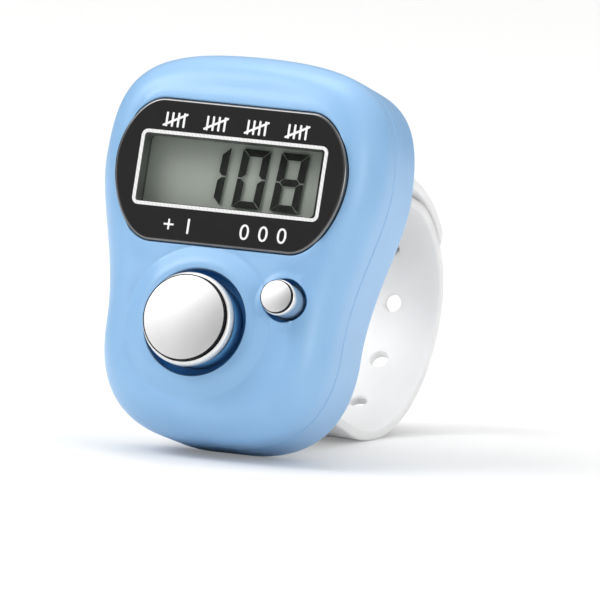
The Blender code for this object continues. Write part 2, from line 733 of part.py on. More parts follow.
def place_on(points, distance):
    """The point at a distance along a run of (z, y) points, and the run's direction there."""
    for a, b in zip(points, points[1:]):
        step = sqrt((a[0] - b[0]) ** 2 + (a[1] - b[1]) ** 2)
        if distance <= step:
            way = ((b[0] - a[0]) / step, (b[1] - a[1]) / step)
            return (a[0] + way[0] * distance, a[1] + way[1] * distance), way
        distance -= step
    return b, way


def up_to(points, distance):
    """The run's first stretch, cut off at a distance from its start."""
    kept, left = [points[0]], distance
    for a, b in zip(points, points[1:]):
        step = sqrt((a[0] - b[0]) ** 2 + (a[1] - b[1]) ** 2)
        if left <= step:
            return kept + [place_on([a, b], left)[0]]
        left -= step
        kept.append(b)
    return kept


def strap_route():
    """The strap's middle from its holed tail to its studded tip, and the loop's inner top run, as (z, y)."""
    half = STRAP_THICKNESS / 2
    layer = STRAP_THICKNESS + STRAP_LAYER_GAP
    clear = GAP + half
    top_y, bottom_y = BAR_TOP_Y + clear, BAR_BOTTOM_Y - clear
    bend = BAR_ROUND + clear
    flat_z = -clear
    crown_z = LOOP_BACK_Z + half
    top_centre = (LOOP_TOP_TURN_Z, LOOP_CROWN_Y)
    outer = quarter(top_centre, LOOP_TOP_TURN_Z - crown_z + layer, top_y - LOOP_CROWN_Y, 90, 0, TOP_TURN_STEPS)
    turn = quarter(top_centre, LOOP_TOP_TURN_Z - crown_z, top_y - layer - LOOP_CROWN_Y, 0, 90, TOP_TURN_STEPS)
    low_centre = (LOOP_BOTTOM_TURN_Z, LOOP_CROWN_Y)
    lower = quarter(low_centre, LOOP_BOTTOM_TURN_Z - crown_z, LOOP_CROWN_Y - LOOP_BOTTOM_Y - half, 0,
                    -90 - LOOP_PINCH_DEG, BOTTOM_TURN_STEPS)

    inner = turn + [(LOOP_TOP_TURN_Z + TAIL_RISE, top_y - layer)]
    tail = list(reversed(up_to(inner, TAIL_RISE)))
    bends = []
    for centre, start in (((flat_z - bend, bottom_y + bend), -90), ((flat_z - bend, top_y - bend), 0)):
        for k in range(BAR_TURN_STEPS + 1):
            angle = radians(start + 90 * k / BAR_TURN_STEPS)
            bends.append((centre[0] + bend * cos(angle), centre[1] + bend * sin(angle)))
    last_stud = FIRST_HOLE_ABOVE_CROWN + (HOLES_ABOVE_CROWN - 1) * HOLE_PITCH
    tip_run = run_length(outer) * (1 - (last_stud - TIP_AFTER_STUD) / run_length(turn))
    return tail + lower[1:] + bends + up_to(outer, tip_run), inner


def strap_stations(route):
    """Each station's place, its direction and its half width, with both ends of the strap rounded."""
    total = run_length(route)
    half = STRAP_HALF_WIDTH
    tip = [half * (1 - cos(radians(angle))) for angle in TIP_ANGLES] + [half]
    count = round(total / STRAP_STEP)
    marks = tip + [half + (total - 2 * half) * k / count for k in range(1, count)]
    marks += [total - mark for mark in reversed(tip)]
    stations = []
    for mark in marks:
        edge = min(mark, total - mark, half)
        place, way = place_on(route, mark)
        stations.append((place, way, sqrt(half * half - (half - edge) ** 2)))
    return stations


def make_strap(look):
    route, inner = strap_route()
    half, edge = STRAP_THICKNESS / 2, STRAP_EDGE
    rings = []
    for (z, y), (way_z, way_y), wide in strap_stations(route):
        section = [
            (wide, half - edge), (wide - edge, half), (edge - wide, half), (-wide, half - edge),
            (-wide, edge - half), (edge - wide, -half), (wide - edge, -half), (wide, edge - half),
        ]
        rings.append([(x, y + way_z * out, z - way_y * out) for x, out in section])
    strap = loft("strap", rings, look)
    layer = STRAP_THICKNESS + STRAP_LAYER_GAP
    for k in range(HOLE_COUNT):
        rise = FIRST_HOLE_ABOVE_CROWN + (HOLES_ABOVE_CROWN - k) * HOLE_PITCH
        place, way = hole_place(route, inner, rise)
        tool = cylinder(f"strap_hole_{k}", (0, 0), HOLE_RADIUS, -layer / 2, layer / 2, 16)
        aim(tool, place, way)
        cut(strap, tool)
    for k in range(STUD_COUNT):
        rise = FIRST_HOLE_ABOVE_CROWN + (STUD_COUNT - k) * HOLE_PITCH
        place, way = place_on(inner, rise)
        inside = half + GAP
        stud = lathe(f"strap_stud_{k}", [
            (0, -inside - STUD_HEAD_HEIGHT), (STUD_HEAD_RADIUS * 0.6, -inside - STUD_HEAD_HEIGHT),
            (STUD_HEAD_RADIUS, -inside - STUD_HEAD_HEIGHT * 0.4), (STUD_HEAD_RADIUS, -inside),
            (STUD_RADIUS, -inside), (STUD_RADIUS, layer), (0, layer),
        ], (0, 0), 12)
        aim(stud, place, (-way[0], -way[1]))
        fuse(strap, stud)
    return strap


def hole_place(route, inner, rise):
    """A hole's place on the strap: above the loop's crown on its inner layer, or below it."""
    if rise >= 0:
        place, way = place_on(inner, rise)
        return place, (-way[0], -way[1])
    return place_on(route, TAIL_RISE - rise)


def aim(obj, place, way):
    """Puts obj at a (z, y) place on the strap, with its z axis square to the strap and out of the loop."""
    z, y = place
    out = Vector((0, way[0], -way[1]))
    obj.location = (0, y, z)
    obj.rotation_euler = (atan2(-out.y, out.z), 0, 0)


def lowest(obj, lean):
    """How far down obj reaches once the counter leans back."""
    shape = obj.evaluated_get(bpy.context.evaluated_depsgraph_get())
    return min(v.co.y * cos(lean) + v.co.z * sin(lean) for v in shape.data.vertices)


def lean_angle(case, strap):
    """The lean at which the case's lower edge and the strap's loop reach equally low."""
    upright, flat = 0.0, radians(60)
    for _ in range(40):
        middle = (upright + flat) / 2
        if lowest(case, middle) < lowest(strap, middle):
            upright = middle
        else:
            flat = middle
    return (upright + flat) / 2


def stand_up(pieces, case, strap):
    """Leans every piece back and moves them all, so that their box's bottom centre is the origin."""
    stand = bpy.data.objects.new("stand", None)
    bpy.context.scene.collection.objects.link(stand)
    stand.rotation_euler = (radians(90) - lean_angle(case, strap), 0, 0)
    for obj in bpy.data.objects:
        if obj is not stand:
            obj.parent = stand
    bpy.context.view_layer.update()
    depsgraph = bpy.context.evaluated_depsgraph_get()
    corners = []
    for obj in pieces:
        shape = obj.evaluated_get(depsgraph)
        corners += [shape.matrix_world @ v.co for v in shape.data.vertices]
    lows = [min(c[axis] for c in corners) for axis in range(3)]
    highs = [max(c[axis] for c in corners) for axis in range(3)]
    stand.location = (-(lows[0] + highs[0]) / 2, -(lows[1] + highs[1]) / 2, -lows[2])


def main():
    clear_scene()
    blue = material("case_blue", (0.30, 0.55, 0.86), 0.35)
    black = material("bezel_black", (0.008, 0.008, 0.009), 0.12)
    clear = material("window_clear", (0.9, 0.95, 0.93), 0.05, alpha=0.3)
    foam = material("gasket_foam", (0.01, 0.01, 0.01), 0.9)
    lcd = material("lcd_grey", (0.20, 0.235, 0.205), 0.3)
    silver = material("reflector_silver", (0.55, 0.58, 0.55), 0.4, 0.6)
    zebra = material("zebra_rubber", (0.55, 0.12, 0.12), 0.7)
    green = material("board_green", (0.02, 0.16, 0.06), 0.45)
    epoxy = material("chip_epoxy", (0.01, 0.01, 0.01), 0.3)
    chrome = material("button_chrome", (0.80, 0.81, 0.83), 0.06, 1.0)
    steel = material("screw_steel", (0.50, 0.50, 0.50), 0.3, 1.0)
    cell = material("cell_steel", (0.62, 0.62, 0.60), 0.25, 1.0)
    spring = material("contact_nickel", (0.66, 0.63, 0.56), 0.3, 1.0)
    silicone = material("dome_silicone", (0.55, 0.56, 0.57), 0.6)
    soft = material("strap_clear", (0.86, 0.87, 0.88), 0.4)

    case_back = make_back_case(blue)
    strap = make_strap(soft)
    pieces = [make_front_case(blue), case_back, make_battery_door(blue), strap]
    pieces += [make_bezel(black), make_window(clear), make_gasket(foam)]
    pieces += make_display(lcd, silver, zebra)
    pieces += [make_board(green), make_chip(epoxy), make_cell(cell)]
    pieces += make_contacts(spring)
    for i, at in enumerate(CASE_SCREWS):
        pieces.append(make_screw(
            f"case_screw_{i + 1}", at, BACK_WALL - GAP - CASE_SCREW_HEAD_HEIGHT, CASE_SCREW_HEAD_RADIUS,
            CASE_SCREW_HEAD_HEIGHT, CASE_SCREW_RADIUS, BOSS_Z + GAP + CASE_SCREW_REACH, steel,
        ))
    for i, at in enumerate(BOARD_SCREWS):
        pieces.append(make_screw(
            f"board_screw_{i + 1}", at, BOARD_Z - GAP - BOARD_SCREW_HEAD_HEIGHT, BOARD_SCREW_HEAD_RADIUS,
            BOARD_SCREW_HEAD_HEIGHT, BOARD_SCREW_RADIUS, BOARD_TOP + GAP + BOARD_SCREW_REACH, steel,
        ))
    pieces.append(make_screw(
        "battery_door_screw", (0, DOOR_SCREW_Y), 0, DOOR_SCREW_HEAD_RADIUS,
        DOOR_SCREW_HEAD_HEIGHT, DOOR_SCREW_RADIUS, DOOR_THICKNESS + DOOR_SCREW_REACH, steel,
    ))
    count_edge = FACE_Z + COUNT_MOUND_HEIGHT + COUNT_PROUD
    reset_edge = FACE_Z + RESET_MOUND_HEIGHT + RESET_PROUD
    count, reset = (COUNT_X, COUNT_Y), (RESET_X, RESET_Y)
    pieces += [
        make_button("count_button", count, COUNT_RADIUS, count_edge, COUNT_CROWN, COUNT_STEM_RADIUS,
                    COUNT_STROKE, COUNT_FLANGE, 32, chrome),
        make_button("reset_button", reset, RESET_RADIUS, reset_edge, RESET_CROWN, RESET_STEM_RADIUS,
                    RESET_STROKE, RESET_FLANGE, 20, chrome),
        make_dome("count_dome", count, COUNT_DOME_RADIUS, COUNT_STROKE, silicone),
        make_dome("reset_dome", reset, RESET_DOME_RADIUS, RESET_STROKE, silicone),
    ]
    stand_up(pieces, case_back, strap)


main()
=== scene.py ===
import json
from math import atan2, cos, pi, radians, sin, sqrt, tan

import bmesh
import bpy
from mathutils import Matrix, Vector
from mathutils.kdtree import KDTree


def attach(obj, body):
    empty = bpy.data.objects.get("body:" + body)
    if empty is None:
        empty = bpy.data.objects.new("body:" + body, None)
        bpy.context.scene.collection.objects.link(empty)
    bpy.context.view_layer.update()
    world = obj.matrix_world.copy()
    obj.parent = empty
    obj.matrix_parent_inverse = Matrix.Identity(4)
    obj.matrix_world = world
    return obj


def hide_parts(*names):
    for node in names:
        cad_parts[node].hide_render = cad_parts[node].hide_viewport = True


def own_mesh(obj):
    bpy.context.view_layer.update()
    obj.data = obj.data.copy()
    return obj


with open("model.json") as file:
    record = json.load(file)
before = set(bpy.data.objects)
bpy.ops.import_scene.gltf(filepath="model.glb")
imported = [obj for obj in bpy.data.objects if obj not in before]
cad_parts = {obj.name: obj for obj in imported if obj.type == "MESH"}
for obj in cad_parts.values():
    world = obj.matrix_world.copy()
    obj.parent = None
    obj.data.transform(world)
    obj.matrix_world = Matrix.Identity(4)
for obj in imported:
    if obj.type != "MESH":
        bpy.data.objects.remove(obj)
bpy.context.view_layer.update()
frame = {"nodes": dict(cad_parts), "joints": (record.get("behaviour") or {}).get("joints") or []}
nodes = frame["nodes"]
print("frame loaded:", len(nodes), "nodes")

# The pieces are drawn in millimetres in the case's own frame: x to the right, y up the case, z out of its
# face, with the display's centre at x = y = 0 and the flat back at z = 0. This puts them where the case leans.
press = next(Vector(j["axis"]) for j in frame["joints"] if j["name"] == "count_press")
outward = -press.normalized()
upward = outward.cross(Vector((1, 0, 0)))
windowMiddle = {"height": 12.3}
windowVerts = [v.co for v in nodes["display_window"].data.vertices]
windowLow, windowHigh = (Vector([pick(v[i] for v in windowVerts) for i in range(3)]) for pick in (min, max))
caseOrigin = (windowLow + windowHigh) / 2 - outward * windowMiddle["height"] * 0.001
caseFrame = Matrix((
    (1, upward.x, outward.x, caseOrigin.x),
    (0, upward.y, outward.y, caseOrigin.y),
    (0, upward.z, outward.z, caseOrigin.z),
    (0, 0, 0, 1),
)) @ Matrix.Scale(0.001, 4)

caseSizes = {
    "top": 12.8, "topReach": 12.1, "headWidth": 15.05, "headY": 0.9, "headRise": 9.2, "headFall": 4.7,
    "waistWidth": 12.3, "waistY": -15.7, "waistRise": 6.8, "waistFall": 9.2, "bottom": -26.5, "bottomFlat": 2.0,
    "bottomReach": 4.1, "stepsPerBend": 32, "wall": 1.5, "face": 13.0, "ceiling": 11.5, "ceilingStep": 0.4,
    "seam": 6.5, "seamGap": 0.07, "seamBevel": 0.06, "edgeInset": 3.7, "edgeHeight": 5.0, "edgeSteps": 12,
    "faceRings": 46, "faceMiddle": -4.0, "loopMiddle": -6.0, "crown": 0.12, "drop": 0.30, "crownReach": 3.4,
    "levelStart": 2.2, "levelReach": 1.9, "denseMargin": 0.5, "denseAbove": 10,
    "openWidth": 10.8, "openHeight": 4.6, "openCorner": 0.5, "openLow": 8, "openHigh": 12.4, "clearHeight": 20,
}
countPlace = {"x": -1.03, "y": -15.17, "cap": 4.38, "well": 5.32, "wellLip": 0.28, "wellDepth": 1.65,
              "mound": 7.8, "moundTop": 5.9, "moundHeight": 0.7, "fold": 0.05, "foldWidth": 0.3}
resetPlace = {"x": 7.94, "y": -11.97, "cap": 1.67, "well": 2.15, "wellLip": 0.14, "wellDepth": 0.9,
              "mound": 3.0, "moundTop": 2.3, "moundHeight": 0.2, "fold": 0, "foldWidth": 0.3}
wellSizes = {"low": 8.0, "clear": 0.2, "foot": 0.25, "flare": 0.02, "steps": 96, "lipSteps": 7, "blueLip": 0.12}
lensSizes = {
    "top": 7.15, "topFlat": 7.9, "halfWidth": 12.44, "widestY": 0.7, "topReach": 2.5, "rise": 3.0, "fall": 3.8,
    "bottom": -7.34, "bottomFlat": 7.5, "bottomReach": 2.7, "stepsPerBend": 26, "seat": 0.06, "lip": 0.20,
    "lipSteps": 7, "under": 0.05, "low": 11.62, "high": 13.18, "bevel": 0.26, "bevelSteps": 5, "proud": 0.12,
    "openWidth": 9.62, "openHeight": 3.43, "openCorner": 0.45, "openLow": 8, "openHigh": 16,
}


def bendPoints(a, b, c, d, steps):
    made = []
    for k in range(steps):
        t = k / steps
        s = 1 - t
        made.append(Vector((
            s ** 3 * a[0] + 3 * s * s * t * b[0] + 3 * s * t * t * c[0] + t ** 3 * d[0],
            s ** 3 * a[1] + 3 * s * s * t * b[1] + 3 * s * t * t * c[1] + t ** 3 * d[1],
        )))
    return made


def mirrorPoints(rightSide):
    return rightSide + [Vector((-p.x, p.y)) for p in reversed(rightSide) if p.x > 1e-6]


def caseLine(steps):
    s = caseSizes
    low, waist = (s["bottomFlat"], s["bottom"]), (s["waistWidth"], s["waistY"])
    head, high = (s["headWidth"], s["headY"]), (0, s["top"])
    side = [Vector((low[0] * k / 6, low[1])) for k in range(6)]
    side += bendPoints(low, (low[0] + s["bottomReach"], low[1]), (waist[0], waist[1] - s["waistFall"]), waist, steps)
    side += bendPoints(waist, (waist[0], waist[1] + s["waistRise"]), (head[0], head[1] - s["headFall"]), head, steps)
    side += bendPoints(head, (head[0], head[1] + s["headRise"]), (s["topReach"], s["top"]), high, steps)
    return mirrorPoints(side + [Vector(high)])


def lensLine(steps):
    s = lensSizes
    low, wide, high = (s["bottomFlat"], s["bottom"]), (s["halfWidth"], s["widestY"]), (s["topFlat"], s["top"])
    side = [Vector((low[0] * k / 8, low[1])) for k in range(8)]
    side += bendPoints(low, (low[0] + s["bottomReach"], low[1]), (wide[0], wide[1] - s["fall"]), wide, steps)
    side += bendPoints(wide, (wide[0], wide[1] + s["rise"]), (high[0] + s["topReach"], high[1]), high, steps)
    side += [Vector((high[0] * (8 - k) / 8, high[1])) for k in range(9)]
    return mirrorPoints(side)


def insetLine(points, distance):
    moved = []
    for i, p in enumerate(points):
        along = (points[(i + 1) % len(points)] - points[i - 1]).normalized()
        moved.append(Vector((p.x - along.y * distance, p.y + along.x * distance)))
    return moved


def smoothShare(value):
    t = max(0.0, min(1.0, value))
    return t * t * (3 - 2 * t)


# Bmesh helpers: rings that climb from loop to loop, rounded plates and spun pieces

def firstRing(bm, points, height):
    made = bmesh.ops.create_circle(bm, cap_ends=False, segments=len(points), radius=1)["verts"]
    for v, p in zip(made, points):
        v.co = (p.x, p.y, height)
    return made


def nextRing(bm, ring, points, height):
    owned = set(ring)
    edges = {e for v in ring for e in v.link_edges if e.other_vert(v) in owned}
    pulled = bmesh.ops.extrude_edge_only(bm, edges=list(edges))["geom"]
    fresh = {g for g in pulled if isinstance(g, bmesh.types.BMVert)}
    made = [next(e.other_vert(v) for e in v.link_edges if e.other_vert(v) in fresh) for v in ring]
    for v, p in zip(made, points):
        v.co = (p.x, p.y, height)
    return made


def raiseFaces(bm, faces, height):
    # Leaves the faces where they are and closes a solid over them
    pulled = bmesh.ops.extrude_face_region(bm, geom=faces, use_keep_orig=True)["geom"]
    raised = [g for g in pulled if isinstance(g, bmesh.types.BMVert)]
    bmesh.ops.translate(bm, vec=(0, 0, height), verts=raised)


def roundedPlate(bm, left, right, bottom, top, roundness, low, high, segments=6):
    made = bmesh.ops.create_grid(bm, x_segments=1, y_segments=1, size=0.5)["verts"]
    for v in made:
        v.co = ((left + right) / 2 + v.co.x * (right - left), (bottom + top) / 2 + v.co.y * (top - bottom), low)
    made = bmesh.ops.bevel(bm, geom=made, offset=roundness, segments=segments, profile=0.5, affect="VERTICES",
                           material=-1)["verts"]
    face = made[0].link_faces[0]
    if high > low:
        raiseFaces(bm, [face], high - low)
    return face


def softenRim(bm, height, offset, segments):
    rim = [e for e in bm.edges if all(abs(v.co.z - height) < 1e-4 for v in e.verts)]
    bmesh.ops.bevel(bm, geom=rim, offset=offset, segments=segments, profile=0.5, affect="EDGES", material=-1)


def addObject(name, data):
    obj = bpy.data.objects.new(name, data)
    bpy.context.scene.collection.objects.link(obj)
    return obj


def shadeEdges(mesh, sharp):
    mesh.shade_smooth()
    mesh.set_sharp_from_angle(angle=radians(sharp))


def meshObject(name, bm, look=None, sharp=32):
    bmesh.ops.recalc_face_normals(bm, faces=bm.faces)
    mesh = bpy.data.meshes.new(name)
    bm.to_mesh(mesh)
    bm.free()
    shadeEdges(mesh, sharp)
    if look:
        mesh.materials.append(look)
    return addObject(name, mesh)


def spinObject(name, profile, steps, cx=0.0, cy=0.0, look=None, sharp=32):
    bm = bmesh.new()
    verts = [bm.verts.new((cx + r, cy, z)) for r, z in profile]
    edges = [bm.edges.new(pair) for pair in zip(verts, verts[1:])]
    bmesh.ops.spin(bm, geom=verts + edges, cent=(cx, cy, 0), axis=(0, 0, 1), angle=2 * pi, steps=steps, use_merge=True)
    bmesh.ops.remove_doubles(bm, verts=bm.verts, dist=0.0005)
    return meshObject(name, bm, look, sharp)


def plateObject(name, *sizes, look=None):
    bm = bmesh.new()
    roundedPlate(bm, *sizes)
    return meshObject(name, bm, look)


def finalMesh(obj):
    depsgraph = bpy.context.evaluated_depsgraph_get()
    return bpy.data.meshes.new_from_object(obj.evaluated_get(depsgraph))


def settle(obj):
    obj.data = finalMesh(obj)
    obj.modifiers.clear()


def carve(obj, tools, operation="DIFFERENCE"):
    for tool in tools:
        step = obj.modifiers.new(tool.name, "BOOLEAN")
        step.operation, step.solver, step.object, step.material_mode = operation, "EXACT", tool, "TRANSFER"
    settle(obj)
    shadeEdges(obj.data, 32)
    for tool in tools:
        bpy.data.objects.remove(tool, do_unlink=True)


def seatPiece(obj, body, slotName, *replaced):
    obj.data.transform(caseFrame)
    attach(obj, body)
    if replaced:
        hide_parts(*replaced)
    return obj


def dress(look, *names):
    for name in names:
        nodes[name].data.materials.clear()
        nodes[name].data.materials.append(look)


# Materials

def finish(name, colour, roughness, metallic=0.0):
    made = bpy.data.materials.new(name)
    made.use_nodes = True
    shader = made.node_tree.nodes["Principled BSDF"]
    shader.inputs["Base Color"].default_value = (*colour, 1)
    shader.inputs["Roughness"].default_value = roughness
    shader.inputs["Metallic"].default_value = metallic
    return made, made.node_tree, shader


def patternNode(tree, kind, scale, stretch=(1, 1, 1), turn=(0, 0, 0)):
    place = tree.nodes.new("ShaderNodeTexCoord")
    mapping = tree.nodes.new("ShaderNodeMapping")
    mapping.inputs["Scale"].default_value = stretch
    mapping.inputs["Rotation"].default_value = turn
    pattern = tree.nodes.new(kind)
    pattern.inputs["Scale"].default_value = scale
    tree.links.new(place.outputs["Object"], mapping.inputs["Vector"])
    tree.links.new(mapping.outputs["Vector"], pattern.inputs["Vector"])
    return pattern


def grainNoise(tree, scale, detail=3.0, stretch=(1, 1, 1), turn=(0, 0, 0)):
    noise = patternNode(tree, "ShaderNodeTexNoise", scale, stretch, turn)
    noise.inputs["Detail"].default_value = detail
    return noise


def mapRange(tree, source, *ends):
    ranged = tree.nodes.new("ShaderNodeMapRange")
    for socket, end in zip(("From Min", "From Max", "To Min", "To Max"), ends):
        ranged.inputs[socket].default_value = end
    tree.links.new(source, ranged.inputs["Value"])
    return ranged


def varyRoughness(tree, shader, pattern, low, high):
    ranged = mapRange(tree, pattern.outputs["Fac"], 0.3, 0.7, low, high)
    tree.links.new(ranged.outputs["Result"], shader.inputs["Roughness"])


def varyColour(tree, shader, pattern, first, second, start=0.35, end=0.65):
    ramp = tree.nodes.new("ShaderNodeValToRGB")
    for stop, position, colour in zip(ramp.color_ramp.elements, (start, end), (first, second)):
        stop.position, stop.color = position, (*colour, 1)
    tree.links.new(pattern.outputs["Fac"], ramp.inputs["Fac"])
    tree.links.new(ramp.outputs["Color"], shader.inputs["Base Color"])


def raiseGrain(tree, shader, pattern, strength, distance=0.00002):
    bump = tree.nodes.new("ShaderNodeBump")
    bump.inputs["Strength"].default_value = strength
    bump.inputs["Distance"].default_value = distance
    tree.links.new(pattern.outputs["Fac"], bump.inputs["Height"])
    tree.links.new(bump.outputs["Normal"], shader.inputs["Normal"])


def darkened(colour, share):
    return tuple(c * share for c in colour)


def grainedLook(name, p, colour, low, high):
    # Colour in soft clouds, roughness and height in a fine grain
    look, tree, shader = finish(name, colour, p["rough"][0])
    varyColour(tree, shader, grainNoise(tree, p["cloud"]), low, high)
    grain = grainNoise(tree, p["grain"], 2)
    varyRoughness(tree, shader, grain, *p["rough"])
    raiseGrain(tree, shader, grain, p["bump"], p["bumpHeight"])
    return look, shader


# The 'well' and 'wellShade' colours are painted shade for the wells' walls and floors, and 'edge' is a painted dark
# shadow line round their lips
plasticLook = {
    "colour": (0.240, 0.455, 0.725), "shade": (0.230, 0.440, 0.710), "rough": (0.42, 0.48), "cloud": 260, "grain": 9000,
    "bump": 0.05, "bumpHeight": 0.000004, "coat": 0.5, "coatRough": 0.32, "specular": 0.5, "well": (0.026, 0.14, 0.35),
    "wellShade": (0.024, 0.13, 0.33), "wellSpecular": 0.15, "edge": (0.012, 0.05, 0.11),
}


def bluePlastic(name, colour, shade, coat=plasticLook["coat"], specular=plasticLook["specular"]):
    look, shader = grainedLook(name, plasticLook, colour, shade, colour)
    shader.inputs["Coat Weight"].default_value = coat
    shader.inputs["Coat Roughness"].default_value = plasticLook["coatRough"]
    shader.inputs["Specular IOR Level"].default_value = specular
    return look


lensLook = {
    "colour": (0.0035, 0.0035, 0.004), "worn": (0.005, 0.005, 0.0055), "rough": (0.12, 0.16), "cloud": 500,
    "grain": 12000, "bump": 0.02, "bumpHeight": 0.000002, "specular": 0.32, "index": 1.5, "edgeSpecular": 0.8,
    "edgeIndex": 2.0,
}


def blackGloss(name, specular, index):
    look, shader = grainedLook(name, lensLook, lensLook["colour"], lensLook["colour"], lensLook["worn"])
    shader.inputs["Specular IOR Level"].default_value = specular
    shader.inputs["IOR"].default_value = index
    return look


lineLook = {"bright": (0.78, 0.78, 0.78), "hatch": (0.68, 0.68, 0.68), "scale": 900, "turn": 35, "waver": 0.6}


def silverLine():
    # Faint slanting strokes on a bright printed line
    p = lineLook
    look, tree, shader = finish("silverLine", p["bright"], 0.35)
    wave = patternNode(tree, "ShaderNodeTexWave", p["scale"], turn=(0, radians(p["turn"]), 0))
    wave.inputs["Distortion"].default_value = p["waver"]
    varyColour(tree, shader, wave, p["hatch"], p["bright"], 0.2, 0.7)
    raiseGrain(tree, shader, wave, 0.2)
    return look


def finelyGrainedLook(name, colour, roughness=0.45, specular=0.5, metallic=0.0):
    look, tree, shader = finish(name, colour, roughness, metallic)
    shader.inputs["Specular IOR Level"].default_value = specular
    varyColour(tree, shader, grainNoise(tree, 7000, 2), darkened(colour, 0.93), colour)
    return look


displayLook = {
    "colour": (0.39, 0.435, 0.385), "shade": (0.365, 0.405, 0.36), "rough": (0.36, 0.46), "fibre": 5200,
    "stretch": (1, 1, 4), "turn": 40,
}


def displayGrey():
    p = displayLook
    look, tree, shader = finish("displayGrey", p["colour"], p["rough"][0])
    fibre = grainNoise(tree, p["fibre"], 2, p["stretch"], (0, radians(p["turn"]), 0))
    varyColour(tree, shader, fibre, p["shade"], p["colour"])
    varyRoughness(tree, shader, fibre, *p["rough"])
    return look


paneLook = {"colour": (0.03, 0.035, 0.03), "index": 1.49, "smear": 900, "smearRough": 0.03}


def clearPane(name, alpha, roughness=0.04):
    look, tree, shader = finish(name, paneLook["colour"], roughness)
    shader.inputs["Alpha"].default_value = alpha
    shader.inputs["IOR"].default_value = paneLook["index"]
    varyRoughness(tree, shader, grainNoise(tree, paneLook["smear"], 2), roughness, roughness + paneLook["smearRough"])
    return look


chromeLook = {"colour": (0.90, 0.90, 0.905), "haze": (0.89, 0.89, 0.895), "rough": (0.34, 0.355)}


def chromePlate():
    look, tree, shader = finish("chromePlate", chromeLook["colour"], chromeLook["rough"][0], 1.0)
    haze = grainNoise(tree, 700, 3)
    varyColour(tree, shader, haze, chromeLook["haze"], chromeLook["colour"])
    varyRoughness(tree, shader, haze, *chromeLook["rough"])
    return look


def brushedMetal(name, colour, roughness, stretch=(1, 1, 1)):
    look, tree, shader = finish(name, colour, roughness, 1.0)
    streak = grainNoise(tree, 2500, 4, stretch)
    varyColour(tree, shader, streak, darkened(colour, 0.86), colour)
    varyRoughness(tree, shader, streak, roughness, roughness + 0.16)
    raiseGrain(tree, shader, streak, 0.12, 0.000006)
    return look


def mattePolymer(name, colour, roughness, scale):
    look, tree, shader = finish(name, colour, roughness)
    pores = grainNoise(tree, scale, 4)
    varyColour(tree, shader, pores, darkened(colour, 0.85), colour)
    varyRoughness(tree, shader, pores, roughness, min(1.0, roughness + 0.15))
    raiseGrain(tree, shader, pores, 0.25, 0.00001)
    return look


boardLook = {"mask": (0.015, 0.13, 0.05), "track": (0.04, 0.24, 0.09), "trackScale": 420, "trackWidth": 0.08}


def boardMask():
    # Solder mask over straight tracks
    p = boardLook
    look, tree, shader = finish("boardMask", p["mask"], 0.32)
    cells = patternNode(tree, "ShaderNodeTexBrick", p["trackScale"])
    cells.inputs["Mortar Size"].default_value = p["trackWidth"]
    for socket, colour in (("Color1", p["mask"]), ("Color2", p["mask"]), ("Mortar", p["track"])):
        cells.inputs[socket].default_value = (*colour, 1)
    tree.links.new(cells.outputs["Color"], shader.inputs["Base Color"])
    raiseGrain(tree, shader, cells, 0.3)
    return look


zebraLook = {"carbon": (0.02, 0.02, 0.02), "silicone": (0.62, 0.16, 0.14), "scale": 1600, "rough": 0.7}


def zebraStripes():
    # Thin carbon and silicone layers, side by side
    p = zebraLook
    look, tree, shader = finish("zebraStripes", p["silicone"], p["rough"])
    wave = patternNode(tree, "ShaderNodeTexWave", p["scale"])
    varyColour(tree, shader, wave, p["carbon"], p["silicone"], 0.45, 0.55)
    return look


strapLook = {
    "colour": (0.80, 0.80, 0.80), "shade": (0.765, 0.765, 0.765), "rough": (0.34, 0.46), "cloud": 180, "grain": 6000,
    "bump": 0.06, "bumpHeight": 0.000006, "milk": 0.6, "depth": (0.0018, 0.0018, 0.0019), "alpha": 0.91,
}


def milkySoft():
    p = strapLook
    look, shader = grainedLook("milkySoft", p, p["colour"], p["shade"], p["colour"])
    shader.inputs["Subsurface Weight"].default_value = p["milk"]
    shader.inputs["Subsurface Radius"].default_value = p["depth"]
    shader.inputs["Subsurface Scale"].default_value = 1.0
    shader.inputs["Alpha"].default_value = p["alpha"]
    return look


blue = bluePlastic("bluePlastic", plasticLook["colour"], plasticLook["shade"])
# Painted shade inside the wells, and a darker painted shadow line round their lips
wellPaintedShade = bluePlastic("wellPaintedShade", plasticLook["well"], plasticLook["wellShade"], 0, plasticLook["wellSpecular"])
wellLipPaintedShadow = bluePlastic("wellLipPaintedShadow", plasticLook["edge"], plasticLook["edge"])
black = blackGloss("blackGloss", lensLook["specular"], lensLook["index"])
blackEdge = blackGloss("blackEdge", lensLook["edgeSpecular"], lensLook["edgeIndex"])
wallGrey = finelyGrainedLook("wallGrey", (0.085, 0.094, 0.085))
silver = silverLine()
whiteInk = finelyGrainedLook("whiteInk", (0.86, 0.86, 0.86))
chrome = chromePlate()
# Painted near-black shade for the caps' disc rims and the grooves under them
paintedShadeLine = brushedMetal("grooveAndRimPaintedShade", (0.02, 0.02, 0.021), 0.4)
# Painted reflections of the wells' blue on the caps' lower sides
countSkirtPaintedReflection = finelyGrainedLook("countSkirtPaintedReflection", (0.13, 0.40, 0.74), 0.3)
resetSkirtPaintedReflection = finelyGrainedLook("resetSkirtPaintedReflection", (0.24, 0.38, 0.54), 0.3)
satin = finelyGrainedLook("satinPlate", (0.84, 0.84, 0.83), 0.3, metallic=0.45)
milky = milkySoft()
steel = brushedMetal("turnedSteel", (0.55, 0.55, 0.54), 0.28)
print("materials made")


# Front shell: one loop climbs the wall, rolls over the shoulder and closes over the face

caseRing = caseLine(caseSizes["stepsPerBend"])
lensRing = lensLine(lensSizes["stepsPerBend"])


